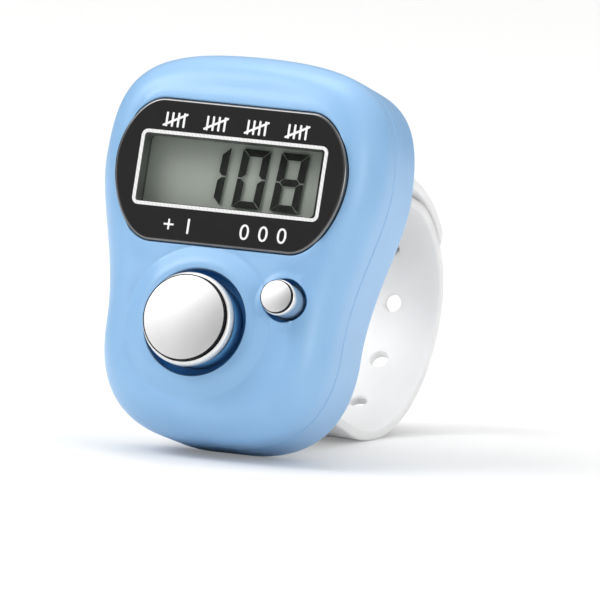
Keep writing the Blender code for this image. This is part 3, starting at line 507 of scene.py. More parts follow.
def lineTree(points, between):
    spots = [p.lerp(q, k / between) for p, q in zip(points, points[1:] + points[:1]) for k in range(between)]
    tree = KDTree(len(spots))
    for i, p in enumerate(spots):
        tree.insert((p.x, p.y, 0), i)
    tree.balance()
    return tree


caseTree, lensTree = lineTree(caseRing, 4), lineTree(lensRing, 6)


def lipCurve(lip, steps):
    # Distance out and drop along a rounded lip, from its foot almost to its top
    turns = [pi / 2 * k / steps for k in range(steps)]
    return [(lip * (1 - cos(turn)), lip - lip * sin(turn)) for turn in turns]


def moundLift(x, y, m):
    away = sqrt((x - m["x"]) ** 2 + (y - m["y"]) ** 2)
    t = (m["mound"] - away) / (m["mound"] - m["moundTop"])
    # A shallow fold runs round the mound's foot
    fold = m["fold"] * max(0, 1 - abs(away - m["mound"]) / m["foldWidth"])
    if t <= 0:
        return -fold
    return m["moundHeight"] * (0.5 * sin(min(t, 1) * pi / 2) + 0.5 * smoothShare(t)) - fold


def faceLift(x, y):
    s = caseSizes
    inside = caseTree.find((x, y, 0))[2]
    lift = (s["crown"] + s["drop"]) * smoothShare((inside - s["edgeInset"]) / s["crownReach"]) - s["drop"]
    level = smoothShare((s["levelStart"] - lensTree.find((x, y, 0))[2]) / s["levelReach"])
    lift += (lensSizes["high"] - lensSizes["proud"] - s["face"] - lift) * level
    return lift + moundLift(x, y, countPlace) + moundLift(x, y, resetPlace)


def wellTool(name, m):
    w = wellSizes
    rim = caseSizes["face"] + faceLift(m["x"], m["y"] - m["well"] - 0.1)
    floor, lip, radius, inner = rim - m["wellDepth"], m["wellLip"], m["well"], m["cap"] + w["clear"]
    profile = [(0, w["low"]), (inner, w["low"]), (inner, floor)]
    profile += [(radius - w["foot"], floor), (radius, floor + w["foot"])]
    profile += [(radius + out, rim - drop) for out, drop in lipCurve(lip, w["lipSteps"])]
    profile += [(profile[-1][0] + w["flare"], caseSizes["clearHeight"]), (0, caseSizes["clearHeight"])]
    tool = spinObject(name, profile, w["steps"], m["x"], m["y"], blue)
    tool.data.materials.append(wellPaintedShade)
    tool.data.materials.append(wellLipPaintedShadow)
    # Walls and floors take the painted shade and most of the lip's rounding the painted shadow line; only the lip's top
    # keeps the body's blue
    for face in tool.data.polygons:
        depth = (rim - face.center.z) / lip
        face.material_index = 1 if depth > 1 else 2 if depth > w["blueLip"] else 0
    return tool


def inOrder(items, place):
    # Sorted by their direction from the shell's middle
    middle = caseSizes["loopMiddle"]
    return sorted(items, key=lambda item: atan2(place(item).x, place(item).y - middle))


def lensCutter():
    s = lensSizes
    bm = bmesh.new()
    ring = firstRing(bm, insetLine(lensRing, -s["seat"]), s["low"] - s["under"])
    bm.faces.new(ring)
    for out, drop in lipCurve(s["lip"], s["lipSteps"]):
        ring = nextRing(bm, ring, insetLine(lensRing, -s["seat"] - out), s["high"] - s["proud"] - drop)
    ring = nextRing(bm, ring, insetLine(lensRing, -s["seat"] - out - 0.03), caseSizes["clearHeight"])
    bm.faces.new(ring)
    return meshObject("lensTool", bm)


def openingTool(name, s, look=None):
    wide, tall = s["openWidth"], s["openHeight"]
    return plateObject(name, -wide, wide, -tall, tall, s["openCorner"], s["openLow"], s["openHigh"], look=look)


def frontShell():
    s = caseSizes
    bm = bmesh.new()
    rim = s["seam"] + s["seamGap"]
    ring = firstRing(bm, insetLine(caseRing, s["seamBevel"]), rim)
    ring = nextRing(bm, ring, caseRing, rim + s["seamBevel"])
    shoulder = s["face"] - s["edgeHeight"]
    for k in range(s["edgeSteps"] + 1):
        turn = pi / 2 * k / s["edgeSteps"]
        line = insetLine(caseRing, s["edgeInset"] * (1 - cos(turn)))
        ring = nextRing(bm, ring, line, shoulder + (s["edgeHeight"] - s["drop"]) * sin(turn))
    middle, level = Vector((0, s["faceMiddle"])), s["face"] - s["drop"]
    for k in range(1, s["faceRings"]):
        ring = nextRing(bm, ring, [middle.lerp(p, 1 - k / s["faceRings"]) for p in line], level)
    bm.faces.new(ring)
    # Finer faces where the mounds rise
    for m in (countPlace, resetPlace):
        spot, reach = Vector((m["x"], m["y"])), m["mound"] + s["denseMargin"]
        near = {v for v in bm.verts if v.co.z > s["denseAbove"] and (v.co.xy - spot).length < reach}
        edges = [e for e in bm.edges if e.verts[0] in near and e.verts[1] in near]
        bmesh.ops.subdivide_edges(bm, edges=edges, cuts=1, use_grid_fill=True)
    for v in bm.verts:
        if v.co.z > level - 1e-4:
            v.co.z = s["face"] + faceLift(v.co.x, v.co.y)
    # The inner wall, from the same loop at the rim
    inner = inOrder([v for v in bm.verts if abs(v.co.z - rim) < 1e-4], lambda v: v.co)
    for inset, height in ((0, rim), (0, s["ceiling"] - s["wall"]), (s["ceilingStep"], s["ceiling"])):
        inner = nextRing(bm, inner, inOrder(insetLine(caseRing, s["wall"] + inset), lambda p: p), height)
    bm.faces.new(inner)
    shell = meshObject("frontShell", bm, blue)
    carve(shell, [lensCutter(), openingTool("openingTool", s), wellTool("countWell", countPlace),
                  wellTool("resetWell", resetPlace)])
    return shell


seatPiece(frontShell(), "case", "case_plastic", "front_case")
print("front shell made")


# Back shell: a tray with a lip, the door's recess, the screws' seats and two strap bars

backSizes = {
    "lip": 0.8, "lipHeight": 0.9, "edge": 1.0, "edgeSteps": 7, "draft": 0.1, "floor": 1.5, "clear": 0.3,
    "doorWidth": 7.0, "doorTop": 2.9, "doorBottom": -13.6, "doorCorner": 1.2, "doorDepth": 1.4, "doorLow": -0.6,
    "doorGap": 0.15, "screws": ((9.1, 7.7), (8.2, -20.4)), "screwSeat": 1.75, "seatBevel": 0.15, "seatDepth": 1.45,
    "screwHole": 1.1, "holeDepth": 2.2, "barWidth": 2.2, "barThick": 1.2, "barHigh": -1.6, "barRound": 0.5,
    "barTop": 5.6, "barBottom": -18.5, "barReach": 7.1, "post": 1.6, "postInset": 0.1, "postRound": 0.45,
    "postLow": -2.2, "postHigh": 0.6,
}


def barTool(name, bottom):
    s = backSizes
    size = 2 * s["barReach"], s["barWidth"], s["barThick"]
    middle = 0, bottom + s["barWidth"] / 2, s["barHigh"] - s["barThick"] / 2
    bm = bmesh.new()
    bmesh.ops.create_cube(bm, size=1, matrix=Matrix.Translation(middle) @ Matrix.Diagonal((*size, 1)))
    bmesh.ops.bevel(bm, geom=list(bm.edges), offset=s["barRound"], segments=4, profile=0.5, affect="EDGES", material=-1)
    return meshObject(name, bm)


def postTool(name, x, bottom):
    s = backSizes
    half, low, high = s["post"] / 2, bottom + s["postInset"], bottom + s["barWidth"] - s["postInset"]
    return plateObject(name, x - half, x + half, low, high, s["postRound"], s["postLow"], s["postHigh"])


def screwSeat(name, x, y):
    s = backSizes
    wide, bevel, hole = s["screwSeat"], s["seatBevel"], s["screwHole"]
    profile = [(0, -0.5), (wide + bevel, -0.5), (wide + bevel, 0), (wide, bevel), (wide, s["seatDepth"]),
               (hole, s["seatDepth"]), (hole, s["holeDepth"]), (0, s["holeDepth"])]
    return spinObject(name, profile, 40, x, y)


def backShell():
    s, c = backSizes, caseSizes
    bm = bmesh.new()
    rim, bevel = c["seam"] - c["seamGap"], c["seamBevel"]
    lipOut, lipIn = c["wall"] + s["clear"], c["wall"] + s["clear"] + s["lip"]
    ring = firstRing(bm, insetLine(caseRing, lipIn), s["floor"])
    bm.faces.new(ring)
    lipTop = rim + s["lipHeight"]
    steps = [(lipIn, lipTop), (lipOut, lipTop), (lipOut, rim), (bevel, rim), (0, rim - bevel)]
    for k in range(s["edgeSteps"] + 1):
        turn = pi / 2 * k / s["edgeSteps"]
        steps.append((s["draft"] + s["edge"] * (1 - cos(turn)), s["edge"] * (1 - sin(turn))))
    for inset, height in steps:
        ring = nextRing(bm, ring, insetLine(caseRing, inset), height)
    bm.faces.new(ring)
    shell = meshObject("backShell", bm, blue)
    bars = []
    for label, bottom in (("top", s["barTop"] - s["barWidth"]), ("bottom", s["barBottom"])):
        bars.append(barTool(label + "Bar", bottom))
        for side in (-1, 1):
            bars.append(postTool(label + "Post", side * (s["barReach"] - s["post"] / 2), bottom))
    carve(shell, bars, "UNION")
    wide, gap = s["doorWidth"] + s["doorGap"], s["doorGap"]
    sizes = -wide, wide, s["doorBottom"] - gap, s["doorTop"] + gap, s["doorCorner"] + gap, s["doorLow"], s["doorDepth"]
    seats = [screwSeat("screwSeat", side * x, y) for x, y in s["screws"] for side in (-1, 1)]
    carve(shell, [plateObject("doorRecess", *sizes), *seats])
    return shell


seatPiece(backShell(), "case", "case_plastic", "back_case")

doorSizes = {
    "low": 0.22, "thick": 1.1, "bevel": 0.12, "ribs": 5, "ribWidth": 5.0, "ribThick": 0.4, "ribRound": 0.18,
    "firstRib": 1.6, "ribPitch": 0.8, "ribHeight": 0.18, "ribTop": 0.5, "screwY": 1.4, "seatRadius": 1.5,
    "seatDepth": 0.7, "holeRadius": 0.9, "holeDepth": 2,
}


def batteryCover():
    s, b = doorSizes, backSizes
    bm = bmesh.new()
    across = b["doorWidth"]
    roundedPlate(bm, -across, across, b["doorBottom"], b["doorTop"], b["doorCorner"], s["low"], s["thick"])
    softenRim(bm, s["low"], s["bevel"], 3)
    cover = meshObject("batteryCover", bm, blue)
    ribs, wide, half = [], s["ribWidth"] / 2, s["ribThick"] / 2
    for k in range(s["ribs"]):
        y = b["doorBottom"] + s["firstRib"] + k * s["ribPitch"]
        sizes = -wide, wide, y - half, y + half, s["ribRound"], s["low"] - s["ribHeight"], s["ribTop"]
        ribs.append(plateObject("coverRib", *sizes))
    carve(cover, ribs, "UNION")
    seat, hole = s["seatRadius"], s["holeRadius"]
    profile = [(0, -1), (seat, -1), (seat, s["seatDepth"]), (hole, s["seatDepth"]), (hole, s["holeDepth"]),
               (0, s["holeDepth"])]
    carve(cover, [spinObject("coverScrewSeat", profile, 40, 0, s["screwY"])])
    return cover


seatPiece(batteryCover(), "case", "case_plastic", "battery_door")
print("back shell and door made")


# Black lens with its frame line and printed marks

markSizes = {
    "lineWidth": 20.18, "lineHeight": 7.695, "lineThick": 0.36, "lineCorner": 0.7, "lineRise": 0.03, "shift": 0.11,
    "sink": 0.01, "inkRise": 0.03, "tallyY": 5.0, "tallyHeight": 1.5, "tallyStroke": 0.22, "tallyPitch": 0.62,
    "strokeCorner": 0.1, "slashHalf": 1.45, "slashRise": 0.04, "slashTurn": 27, "groups": (-6.6, -2.2, 2.2, 6.6),
    "wordSize": 2.25, "wordSpacing": 1.12, "wordY": -6.35, "plusX": -4.6, "noughtsX": 4.6,
}


def blackLens():
    s = lensSizes
    bm = bmesh.new()
    ring = firstRing(bm, lensRing, s["low"])
    bm.faces.new(ring)
    for k in range(s["bevelSteps"] + 1):
        turn = pi / 2 * k / s["bevelSteps"]
        line = insetLine(lensRing, s["bevel"] * (1 - cos(turn)))
        ring = nextRing(bm, ring, line, s["high"] - s["bevel"] * (1 - sin(turn)))
    bm.faces.new(ring)
    lens = meshObject("blackLens", bm, black)
    lens.data.materials.append(blackEdge)
    for face in lens.data.polygons:
        if abs(face.normal.z) < 0.99 and face.center.z > s["high"] - s["bevel"]:
            face.material_index = 1
    carve(lens, [openingTool("lensOpening", s, wallGrey)])
    # The rounded edge doesn't bend the light on the flat face
    step = lens.modifiers.new("keepFlat", "WEIGHTED_NORMAL")
    step.keep_sharp, step.weight = True, 100
    settle(lens)
    return lens


seatPiece(blackLens(), "case", "bezel_plastic", "display_bezel")


def frameLine():
    s, foot = markSizes, lensSizes["high"] - markSizes["sink"]
    bm = bmesh.new()
    wide, tall = s["lineWidth"] / 2, s["lineHeight"] / 2
    face = roundedPlate(bm, s["shift"] - wide, s["shift"] + wide, -tall, tall, s["lineCorner"], foot, foot, 8)
    bmesh.ops.inset_region(bm, faces=[face], thickness=s["lineThick"], use_even_offset=True, use_boundary=True)
    bmesh.ops.delete(bm, geom=[face], context="FACES_ONLY")
    raiseFaces(bm, list(bm.faces), s["lineRise"])
    return meshObject("frameLine", bm, silver)


seatPiece(frameLine(), "case", "bezel_plastic")


def inkStroke(bm, left, right, bottom, top, rise):
    s, high = markSizes, lensSizes["high"]
    roundedPlate(bm, left, right, bottom, top, s["strokeCorner"], high - s["sink"], high + rise, 3)


def tallyStrokes():
    s = markSizes
    half, tall = s["tallyStroke"] / 2, s["tallyHeight"] / 2
    bm = bmesh.new()
    for middle in s["groups"]:
        for k in range(4):
            x = middle + (k - 1.5) * s["tallyPitch"]
            inkStroke(bm, x - half, x + half, s["tallyY"] - tall, s["tallyY"] + tall, s["inkRise"])
        # The fifth stroke lies across the four
        earlier = set(bm.verts)
        inkStroke(bm, -s["slashHalf"], s["slashHalf"], -half, half, s["slashRise"])
        place = Matrix.Translation((middle, s["tallyY"], 0)) @ Matrix.Rotation(radians(s["slashTurn"]), 4, "Z")
        bmesh.ops.transform(bm, matrix=place, verts=[v for v in bm.verts if v not in earlier])
    return meshObject("tallyStrokes", bm, whiteInk)


def printedWord(name, body, x):
    s = markSizes
    letters = bpy.data.curves.new(name, "FONT")
    letters.body, letters.size, letters.align_x = body, s["wordSize"], "CENTER"
    letters.extrude, letters.space_character = s["inkRise"] / 2, s["wordSpacing"]
    flat = addObject(name, letters)
    mesh = finalMesh(flat)
    bpy.data.objects.remove(flat, do_unlink=True)
    mesh.transform(Matrix.Translation((x, s["wordY"], lensSizes["high"] + s["inkRise"] / 2)))
    mesh.materials.clear()
    mesh.materials.append(whiteInk)
    return addObject(name, mesh)


seatPiece(tallyStrokes(), "case", "bezel_plastic")
seatPiece(printedWord("plusOne", "+ 1", markSizes["plusX"]), "case", "bezel_plastic")
seatPiece(printedWord("threeNoughts", "0 0 0", markSizes["noughtsX"]), "case", "bezel_plastic")
print("lens made")


# Display: window pane, grey glass and the digits that float just over it

paneSizes = {"inset": 0.05, "low": 12.35, "high": 12.92, "bevel": 0.06, "alpha": 0.05}
digitSizes = {
    "shown": "108", "centres": (-2.80, 1.50, 5.64), "low": -2.86, "high": 3.14, "width": 3.0, "thick": 0.78,
    "slant": 4.0,
    # Level, depth and the gap between segments, for the digits and for the paler shade in their gaps
    "lit": (10.76, 0.05, 0.10), "halo": (10.74, 0.01, 0.01),
}
segmentsLit = {"1": "bc", "0": "abcdef", "8": "abcdefg"}


def windowPane():
    s, p = lensSizes, paneSizes
    bm = bmesh.new()
    wide, tall = s["openWidth"] - p["inset"], s["openHeight"] - p["inset"]
    roundedPlate(bm, -wide, wide, -tall, tall, s["openCorner"], p["low"], p["high"])
    softenRim(bm, p["high"], p["bevel"], 2)
    return meshObject("windowPane", bm, clearPane("windowClear", p["alpha"]))


seatPiece(windowPane(), "case", "window_clear", "display_window")


def segmentShape(which, gap):
    # Corner points of one segment, mitred against its neighbours, for a digit centred on x = 0
    d = digitSizes
    half, thick, low, high = d["width"] / 2, d["thick"], d["low"], d["high"]
    mid, g = (low + high) / 2, gap * 0.707  # the gap seen along each axis, as it runs at 45 degrees
    long, tall = half - thick - g * 0.6, thick / 2 - g * 0.4
    # The lower half mirrors the upper half, and the left side the right
    if which in "cde":
        return [(x, low + high - y) for x, y in segmentShape({"c": "b", "d": "a", "e": "f"}[which], gap)]
    if which == "f":
        return [(-x, y) for x, y in segmentShape("b", gap)]
    return {
        "a": [(-half + g, high), (half - g, high), (half - thick, high - thick + g), (-half + thick, high - thick + g)],
        "b": [(half, high - g), (half, mid + g), (half - thick / 2, mid + g), (half - thick, mid + thick / 2 + g * 0.6),
              (half - thick, high - thick - g * 0.2)],
        "g": [(-half + thick / 2 + g, mid), (-long, mid + tall), (long, mid + tall), (half - thick / 2 - g, mid),
              (long, mid - tall), (-long, mid - tall)],
    }[which]


def displayDigits(name, level, deep, gap, look):
    d = digitSizes
    lean = tan(radians(d["slant"]))
    mid = (d["low"] + d["high"]) / 2
    bm = bmesh.new()
    for digit, centre in zip(d["shown"], d["centres"]):
        for which in segmentsLit[digit]:
            verts = [bm.verts.new((centre + x + (y - mid) * lean, y, level)) for x, y in segmentShape(which, gap)]
            raiseFaces(bm, [bm.faces.new(verts)], deep)
    return meshObject(name, bm, look)


digitInk = finelyGrainedLook("digitInk", (0.006, 0.008, 0.006), 0.5, 0.2)
haloInk = finelyGrainedLook("digitHalo", (0.33, 0.37, 0.33), 0.5)
seatPiece(displayDigits("litDigits", *digitSizes["lit"], digitInk), "case", "lcd_glass")
seatPiece(displayDigits("digitGaps", *digitSizes["halo"], haloInk), "case", "lcd_glass")
dress(displayGrey(), "lcd_front_glass")
print("display made")


# Chrome buttons, spun about their own axes: radius and drop from the top along the crown, heights below it, and
# where each finish, painted shade and painted reflection ends
countCapSizes = {
    "top": 17.0, "steps": 96, "crown": (
        (0, 0), (0.8, 0.010), (1.7, 0.046), (2.6, 0.107), (3.4, 0.182), (4.0, 0.252), (4.25, 0.284), (4.38, 0.302),
        (4.385, 0.42), (4.16, 0.44), (4.16, 0.84), (4.42, 0.86), (4.56, 0.92), (4.66, 1.03), (4.71, 1.18), (4.73, 1.85),
        (4.69, 1.96), (4.58, 2.0),
    ),
    "crownDrop": 2.02, "skirtHigh": 13.9, "flangeHigh": 11.2, "flangeLow": 10.4, "stemLow": 8.95, "flange": 5.28,
    "stem": 1.5, "discEdge": 0.285, "grooveEdge": 0.87, "collarEdge": 1.99, "skirtEdge": 13.85,
}
resetCapSizes = {
    "top": 15.65, "steps": 64, "crown": (
        (0, 0), (0.5, 0.012), (0.9, 0.04), (1.2, 0.071), (1.45, 0.103), (1.59, 0.124), (1.68, 0.138), (1.68, 0.25),
        (1.48, 0.27), (1.48, 0.50), (1.68, 0.52), (1.75, 0.57), (1.79, 0.66), (1.80, 1.05), (1.77, 1.13),
    ),
    "crownDrop": 1.16, "skirtHigh": 14.0, "flangeHigh": 11.2, "flangeLow": 10.4, "stemLow": 8.75, "flange": 2.27,
    "stem": 0.8, "discEdge": 0.126, "grooveEdge": 0.53, "collarEdge": 1.15, "skirtEdge": 13.95,
}


def buttonCap(name, s, place, skirt):
    top, r, flange, stem = s["top"], place["cap"], s["flange"], s["stem"]
    profile = [(out, top - drop) for out, drop in (*s["crown"], (r, s["crownDrop"]))]
    profile += [(r, s["skirtHigh"]), (r, s["flangeHigh"]), (flange, s["flangeHigh"]), (flange, s["flangeLow"]),
                (stem, s["flangeLow"]), (stem, s["stemLow"]), (0, s["stemLow"])]
    cap = spinObject(name, profile, s["steps"], place["x"], place["y"], chrome, 50)
    # Polished disc with painted near-black shade on its rim and in the groove under it, satin collar, and a skirt
    # painted with the reflection of its well's blue
    for look in (paintedShadeLine, satin, skirt):
        cap.data.materials.append(look)
    ends = (s["skirtEdge"], 3), (top - s["collarEdge"], 0), (top - s["grooveEdge"], 2), (top - s["discEdge"], 1)
    for face in cap.data.polygons:
        face.material_index = next((index for end, index in ends if face.center.z < end), 0)
    return cap


seatPiece(buttonCap("countCap", countCapSizes, countPlace, countSkirtPaintedReflection), "count_button", "button_chrome", "count_button")
seatPiece(buttonCap("resetCap", resetCapSizes, resetPlace, resetSkirtPaintedReflection), "reset_button", "button_chrome", "reset_button")

domeSizes = {
    "base": 6.55, "wall": 0.4, "crown": 0.5, "foot": 0.78, "crownBevel": 0.1, "footBevel": 0.15, "rimBevel": 0.05,
    "countRadius": 3.6, "countHeight": 2.1, "resetRadius": 1.4, "resetHeight": 1.9,
}
siliconeLook = mattePolymer("domeSilicone", (0.52, 0.53, 0.55), 0.5, 2500)


def pressDome(name, place, radius, height, node):
    s = domeSizes
    low, wall, high = s["base"], s["wall"], s["base"] + height
    crown, foot, rim = radius * s["crown"], radius * s["foot"], low + wall
    profile = [(0, high), (crown - s["crownBevel"], high), (crown, high - s["crownBevel"]),
               (foot, rim + s["footBevel"]), (foot + s["footBevel"], rim), (radius - s["rimBevel"], rim),
               (radius, rim - s["rimBevel"]), (radius, low), (foot - wall, low), (crown - wall / 2, high - 2 * wall),
               (0, high - 2 * wall)]
    shape = spinObject(name, profile, 40, place["x"], place["y"], siliconeLook)
    dome = seatPiece(shape, "case", "dome_silicone", node)
    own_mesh(dome)


pressDome("countDome", countPlace, domeSizes["countRadius"], domeSizes["countHeight"], "count_dome")
pressDome("resetDome", resetPlace, domeSizes["resetRadius"], domeSizes["resetHeight"], "reset_dome")
print("buttons made")


# Strap: one soft band on the same route as its solid, from its holed tail to its studded tip

strapSizes = {
    "halfWidth": 5.2, "thick": 1.0, "edge": 0.22, "layerGap": 0.35, "gap": 0.3, "barTop": 5.6, "barBottom": -18.5,
    "barRound": 0.5, "backZ": -37.5, "crownY": -5.0, "bottomY": -21.1, "pinch": 5, "topTurnZ": -22.0,
    "bottomTurnZ": -19.0, "loopSteps": 60, "bendSteps": 12, "step": 0.7, "holes": 5, "studs": 3, "pitch": 6.6,
    "firstHole": 0.4, "tail": 4.5, "tip": 3.0, "holeRadius": 0.9, "holeBevel": 0.12, "holeFlare": 0.16,
    "cutReach": 0.66, "studRadius": 0.55, "studHead": 1.0, "studTip": 0.5, "studSide": 0.85, "studHeight": 0.5,
}


def quarterTurn(centre, across, up, start, end, steps):
    made = []
    for k in range(steps + 1):
        turn = radians(start + (end - start) * k / steps)
        made.append(Vector((centre[0] - across * cos(turn), centre[1] + up * sin(turn))))
    return made


def runLength(points):
    return sum((b - a).length for a, b in zip(points, points[1:]))


def upTo(points, distance):
    # The run's points as far as a distance along it, and its direction there
    kept = [points[0]]
    for a, b in zip(points, points[1:]):
        step, way = (b - a).length, (b - a).normalized()
        if distance <= step:
            return kept + [a + way * distance], way
        distance -= step
        kept.append(b)
    return kept, way


def spotOn(points, distance):
    kept, way = upTo(points, distance)
    return kept[-1], way


def strapRoute():
    # Points (z, y) along the middle of the band, and the inner run from the loop's crown to the case
    s = strapSizes
    half, layer, clear = s["thick"] / 2, s["thick"] + s["layerGap"], s["gap"] + s["thick"] / 2
    topY, bottomY, bend = s["barTop"] + clear, s["barBottom"] - clear, s["barRound"] + clear
    crownZ, steps, above = s["backZ"] + half, s["loopSteps"], s["studs"] - 1
    tailRise = s["firstHole"] + above * s["pitch"] + s["tail"]
    topCentre, lowCentre = (s["topTurnZ"], s["crownY"]), (s["bottomTurnZ"], s["crownY"])
    topAcross, lowAcross = s["topTurnZ"] - crownZ, s["bottomTurnZ"] - crownZ
    outer = quarterTurn(topCentre, topAcross + layer, topY - s["crownY"], 90, 0, steps)
    turn = quarterTurn(topCentre, topAcross, topY - layer - s["crownY"], 0, 90, steps)
    lower = quarterTurn(lowCentre, lowAcross, s["crownY"] - s["bottomY"] - half, 0, -90 - s["pinch"], steps)
    inner = turn + [Vector((s["topTurnZ"] + tailRise, topY - layer))]
    tail = list(reversed(upTo(inner, tailRise)[0]))
    bends = quarterTurn((-clear - bend, bottomY + bend), -bend, bend, -90, 0, s["bendSteps"])
    bends += quarterTurn((-clear - bend, topY - bend), -bend, bend, 0, 90, s["bendSteps"])
    lastStud = s["firstHole"] + (above - 1) * s["pitch"]
    tipRun = runLength(outer) * (1 - (lastStud - s["tip"]) / runLength(turn))
    return tail + lower[1:] + bends + upTo(outer, tipRun)[0], inner, tailRise


def aimed(obj, place, way):
    # Turns what was drawn along z so that z stands square to the band, then moves it there
    turn = Matrix.Rotation(atan2(-way.x, -way.y), 4, "X")
    obj.data.transform(Matrix.Translation((0, place.y, place.x)) @ turn)
    return obj


def strapStud(inner, k):
    s = strapSizes
    place, way = spotOn(inner, s["firstHole"] + (s["studs"] - k) * s["pitch"])
    inside, layer = s["thick"] / 2 + s["gap"], s["thick"] + s["layerGap"]
    head = inside + s["studHeight"]
    profile = [(0, -head), (s["studTip"], -head), (s["studSide"], -inside - 0.4), (s["studHead"], -inside - 0.2),
               (s["studHead"], -inside), (s["studRadius"], -inside), (s["studRadius"], layer), (0, layer)]
    return aimed(spinObject("strapStud", profile, 32), place, -way)


def strapHole(route, inner, tailRise, k):
    s = strapSizes
    rise = s["firstHole"] + (s["studs"] - 1 - k) * s["pitch"]
    place, way = spotOn(inner, rise) if rise >= 0 else spotOn(route, tailRise - rise)
    half, radius, bevel, far = s["thick"] / 2, s["holeRadius"], s["holeBevel"], s["holeRadius"] + s["holeFlare"]
    profile = [(0, -s["cutReach"]), (far, -s["cutReach"]), (radius + bevel, -half), (radius, bevel - half),
               (radius, half - bevel), (radius + bevel, half), (far, s["cutReach"]), (0, s["cutReach"])]
    return aimed(spinObject("strapHole", profile, 40), place, -way if rise >= 0 else way)


def softStrap():
    s = strapSizes
    route, inner, tailRise = strapRoute()
    half, edge, wide, total = s["thick"] / 2, s["edge"], s["halfWidth"], runLength(route)
    tip = [wide * (1 - cos(radians(a))) for a in range(8, 81, 8)] + [wide]
    count = round(total / s["step"])
    marks = tip + [wide + (total - 2 * wide) * k / count for k in range(1, count)] + [total - m for m in reversed(tip)]
    bm = bmesh.new()
    ring = None
    for mark in marks:
        place, way = spotOn(route, mark)
        near = min(mark, total - mark, wide)
        w = max(sqrt(wide * wide - (wide - near) ** 2), edge + 0.1)
        section = []
        for k, (across, out) in enumerate(((1, 1), (-1, 1), (-1, -1), (1, -1))):
            for angle in (radians(90 * k + 30 * part) for part in range(4)):
                section.append((across * (w - edge) + edge * cos(angle), out * (half - edge) + edge * sin(angle)))
        if ring is None:
            ring = bmesh.ops.create_circle(bm, cap_ends=True, segments=len(section), radius=1)["verts"]
        else:
            ring = nextRing(bm, ring, [Vector((0, 0))] * len(section), 0)
        for v, (x, out) in zip(ring, section):
            v.co = (x, place.y + way.x * out, place.x - way.y * out)
    bm.faces.new(ring)
    strap = meshObject("softStrap", bm, milky)
    carve(strap, [strapStud(inner, k) for k in range(s["studs"])], "UNION")
    carve(strap, [strapHole(route, inner, tailRise, k) for k in range(s["holes"])])
    return strap


seatPiece(softStrap(), "case", "strap_soft", "strap")
print("strap made")


# What stays as its solid gets its own finish

dress(steel, *(name for name in nodes if "screw" in name))
dress(mattePolymer("gasketFoam", (0.06, 0.067, 0.06), 0.85, 3500), "display_gasket")
dress(clearPane("rearGlass", 0.35, 0.08), "lcd_rear_glass")
dress(brushedMetal("reflectorFilm", (0.62, 0.65, 0.62), 0.4), "lcd_reflector")
dress(zebraStripes(), "zebra_strip")
dress(boardMask(), "circuit_board")
dress(mattePolymer("chipEpoxy", (0.012, 0.012, 0.012), 0.32, 1800), "chip_blob")
dress(brushedMetal("cellSteel", (0.66, 0.66, 0.64), 0.2, (1, 1, 12)), "button_cell")
dress(brushedMetal("contactNickel", (0.68, 0.65, 0.57), 0.22, (6, 1, 1)), "battery_contact_positive",
      "battery_contact_negative")
print("solids dressed")


# Studio: pale floor, soft light from the upper left, long lens

studioSizes = {
    "floorHalf": 3.0, "floorColour": (0.855, 0.855, 0.855), "floorLift": 0.19, "floorRough": 0.75, "grain": 900,
    # Direction, start and end of the spread, and power of each soft patch of sky, over an even base
    "skyColour": (1.0, 0.997, 0.99), "skyBase": 0.17, "skyGlows": (
        ((-0.48, -0.48, 0.72), 0.92, 0.99, 4.3),
        ((-0.60, -0.64, 0.48), 0.855, 0.98, 0.94),
        ((0.90, -0.36, 0.22), 0.95, 0.998, 3.6),
        ((0.85, -0.15, 0.50), 0.55, 0.97, 0.50),
        ((0, 0.25, 1.0), 0.30, 1.0, 0.82),
    ),
    # Power, size and place of each lamp
    "lamps": {
        "keyLamp": (0.5, 0.30, (-0.45, -0.22, 0.42)),
        "topLamp": (0.8, 0.3, (-0.05, 0.10, 0.55)),
        "fillLamp": (0.15, 0.5, (0.45, -0.35, 0.25)),
    },
    "lampTarget": (0, 0, 0.02),
}


def mathNode(tree, operation, first, second):
    # Each of the two is a number or another node's output
    node = tree.nodes.new("ShaderNodeMath")
    node.operation = operation
    for socket, value in zip(node.inputs, (first, second)):
        if isinstance(value, float):
            socket.default_value = value
        else:
            tree.links.new(value, socket)
    return node.outputs["Value"]


def mixShaders(tree, share, first, second, output):
    mix = tree.nodes.new("ShaderNodeMixShader")
    for socket, source in zip(mix.inputs, (share, first, second)):
        tree.links.new(source, socket)
    tree.links.new(mix.outputs["Shader"], output.inputs["Surface"])


def studioFloor():
    # The camera sees the floor a little lighter than it is lit
    s = studioSizes
    bm = bmesh.new()
    bmesh.ops.create_grid(bm, x_segments=1, y_segments=1, size=s["floorHalf"])
    look, tree, shader = finish("paleFloor", s["floorColour"], s["floorRough"])
    varyColour(tree, shader, grainNoise(tree, s["grain"]), darkened(s["floorColour"], 0.995), s["floorColour"])
    glow, path = tree.nodes.new("ShaderNodeEmission"), tree.nodes.new("ShaderNodeLightPath")
    share = mathNode(tree, "MULTIPLY", path.outputs["Is Camera Ray"], s["floorLift"])
    mixShaders(tree, share, shader.outputs["BSDF"], glow.outputs["Emission"], tree.nodes["Material Output"])
    floor = meshObject("paleFloor", bm, look)


def softLamp(name, power, size, place):
    data = bpy.data.lights.new(name, "AREA")
    data.energy, data.size, data.shape = power, size, "SQUARE"
    lamp = addObject(name, data)
    lamp.location = place
    lamp.rotation_euler = (Vector(studioSizes["lampTarget"]) - Vector(place)).to_track_quat("-Z", "Y").to_euler()


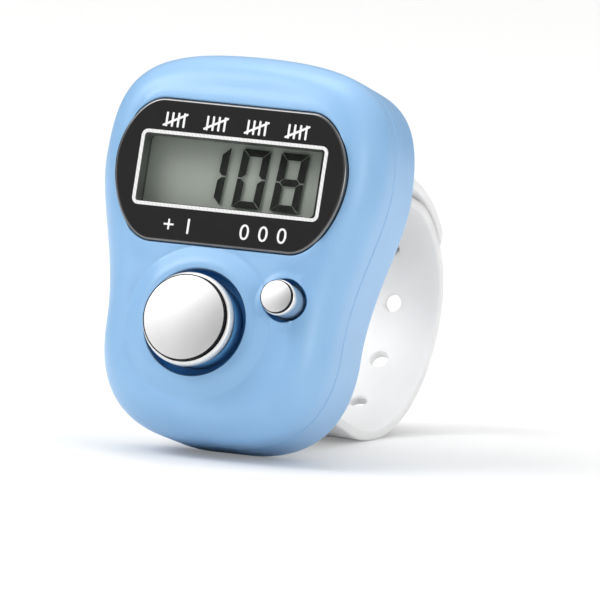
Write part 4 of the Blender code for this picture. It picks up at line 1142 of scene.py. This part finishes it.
def skyGlow(tree, direction, start, end, power):
    # A soft patch of light round one direction of the sky
    place, near = tree.nodes.new("ShaderNodeTexCoord"), tree.nodes.new("ShaderNodeVectorMath")
    near.operation = "DOT_PRODUCT"
    near.inputs[1].default_value = Vector(direction).normalized()
    tree.links.new(place.outputs["Generated"], near.inputs[0])
    ranged = mapRange(tree, near.outputs["Value"], start, end, 0, power)
    ranged.interpolation_type = "SMOOTHSTEP"
    return ranged.outputs["Result"]


def paleWorld():
    s = studioSizes
    world = bpy.data.worlds.new("paleWorld")
    bpy.context.scene.world = world
    world.use_nodes = True
    tree = world.node_tree
    tree.nodes.clear()
    output, path = tree.nodes.new("ShaderNodeOutputWorld"), tree.nodes.new("ShaderNodeLightPath")
    lit, white = tree.nodes.new("ShaderNodeBackground"), tree.nodes.new("ShaderNodeBackground")
    lit.inputs["Color"].default_value = (*s["skyColour"], 1)
    white.inputs["Color"].default_value = (1, 1, 1, 1)
    total = s["skyBase"]
    for glow in s["skyGlows"]:
        total = mathNode(tree, "ADD", total, skyGlow(tree, *glow))
    tree.links.new(total, lit.inputs["Strength"])
    # What the camera sees past the floor, and through clear pieces, is plain white
    seen = mathNode(tree, "MAXIMUM", path.outputs["Is Camera Ray"], path.outputs["Is Transmission Ray"])
    mixShaders(tree, seen, lit.outputs["Background"], white.outputs["Background"], output)


studioFloor()
paleWorld()
for lampName, lampValues in studioSizes["lamps"].items():
    softLamp(lampName, *lampValues)
bpy.context.scene.view_settings.view_transform = "Standard"

# The camera's axes in the case's frame, and how far right and up its aim lies from the display's middle
cameraSizes = {
    "right": (0.92494, 0.1515, -0.34861), "up": (-0.09808, 0.9812, 0.16619), "back": (0.36724, -0.11953, 0.92241),
    "distance": 1500.0, "aimX": 7.0426, "aimY": -12.4635, "lens": 900, "sensor": 36, "clip": (0.01, 20),
}


def photoCamera():
    s = cameraSizes
    right, up, back = Vector(s["right"]), Vector(s["up"]), Vector(s["back"])
    spot = Vector((0, 0, caseSizes["face"])) + right * s["aimX"] + up * s["aimY"] + back * s["distance"]
    turn = caseFrame.to_3x3() * 1000 @ Matrix((right, up, back)).transposed()
    data = bpy.data.cameras.new("photoCamera")
    data.lens, data.sensor_width, (data.clip_start, data.clip_end) = s["lens"], s["sensor"], s["clip"]
    camera = addObject("photoCamera", data)
    camera.matrix_world = Matrix.Translation(caseFrame @ spot) @ turn.to_4x4()
    bpy.context.scene.camera = camera


photoCamera()
print("studio made")
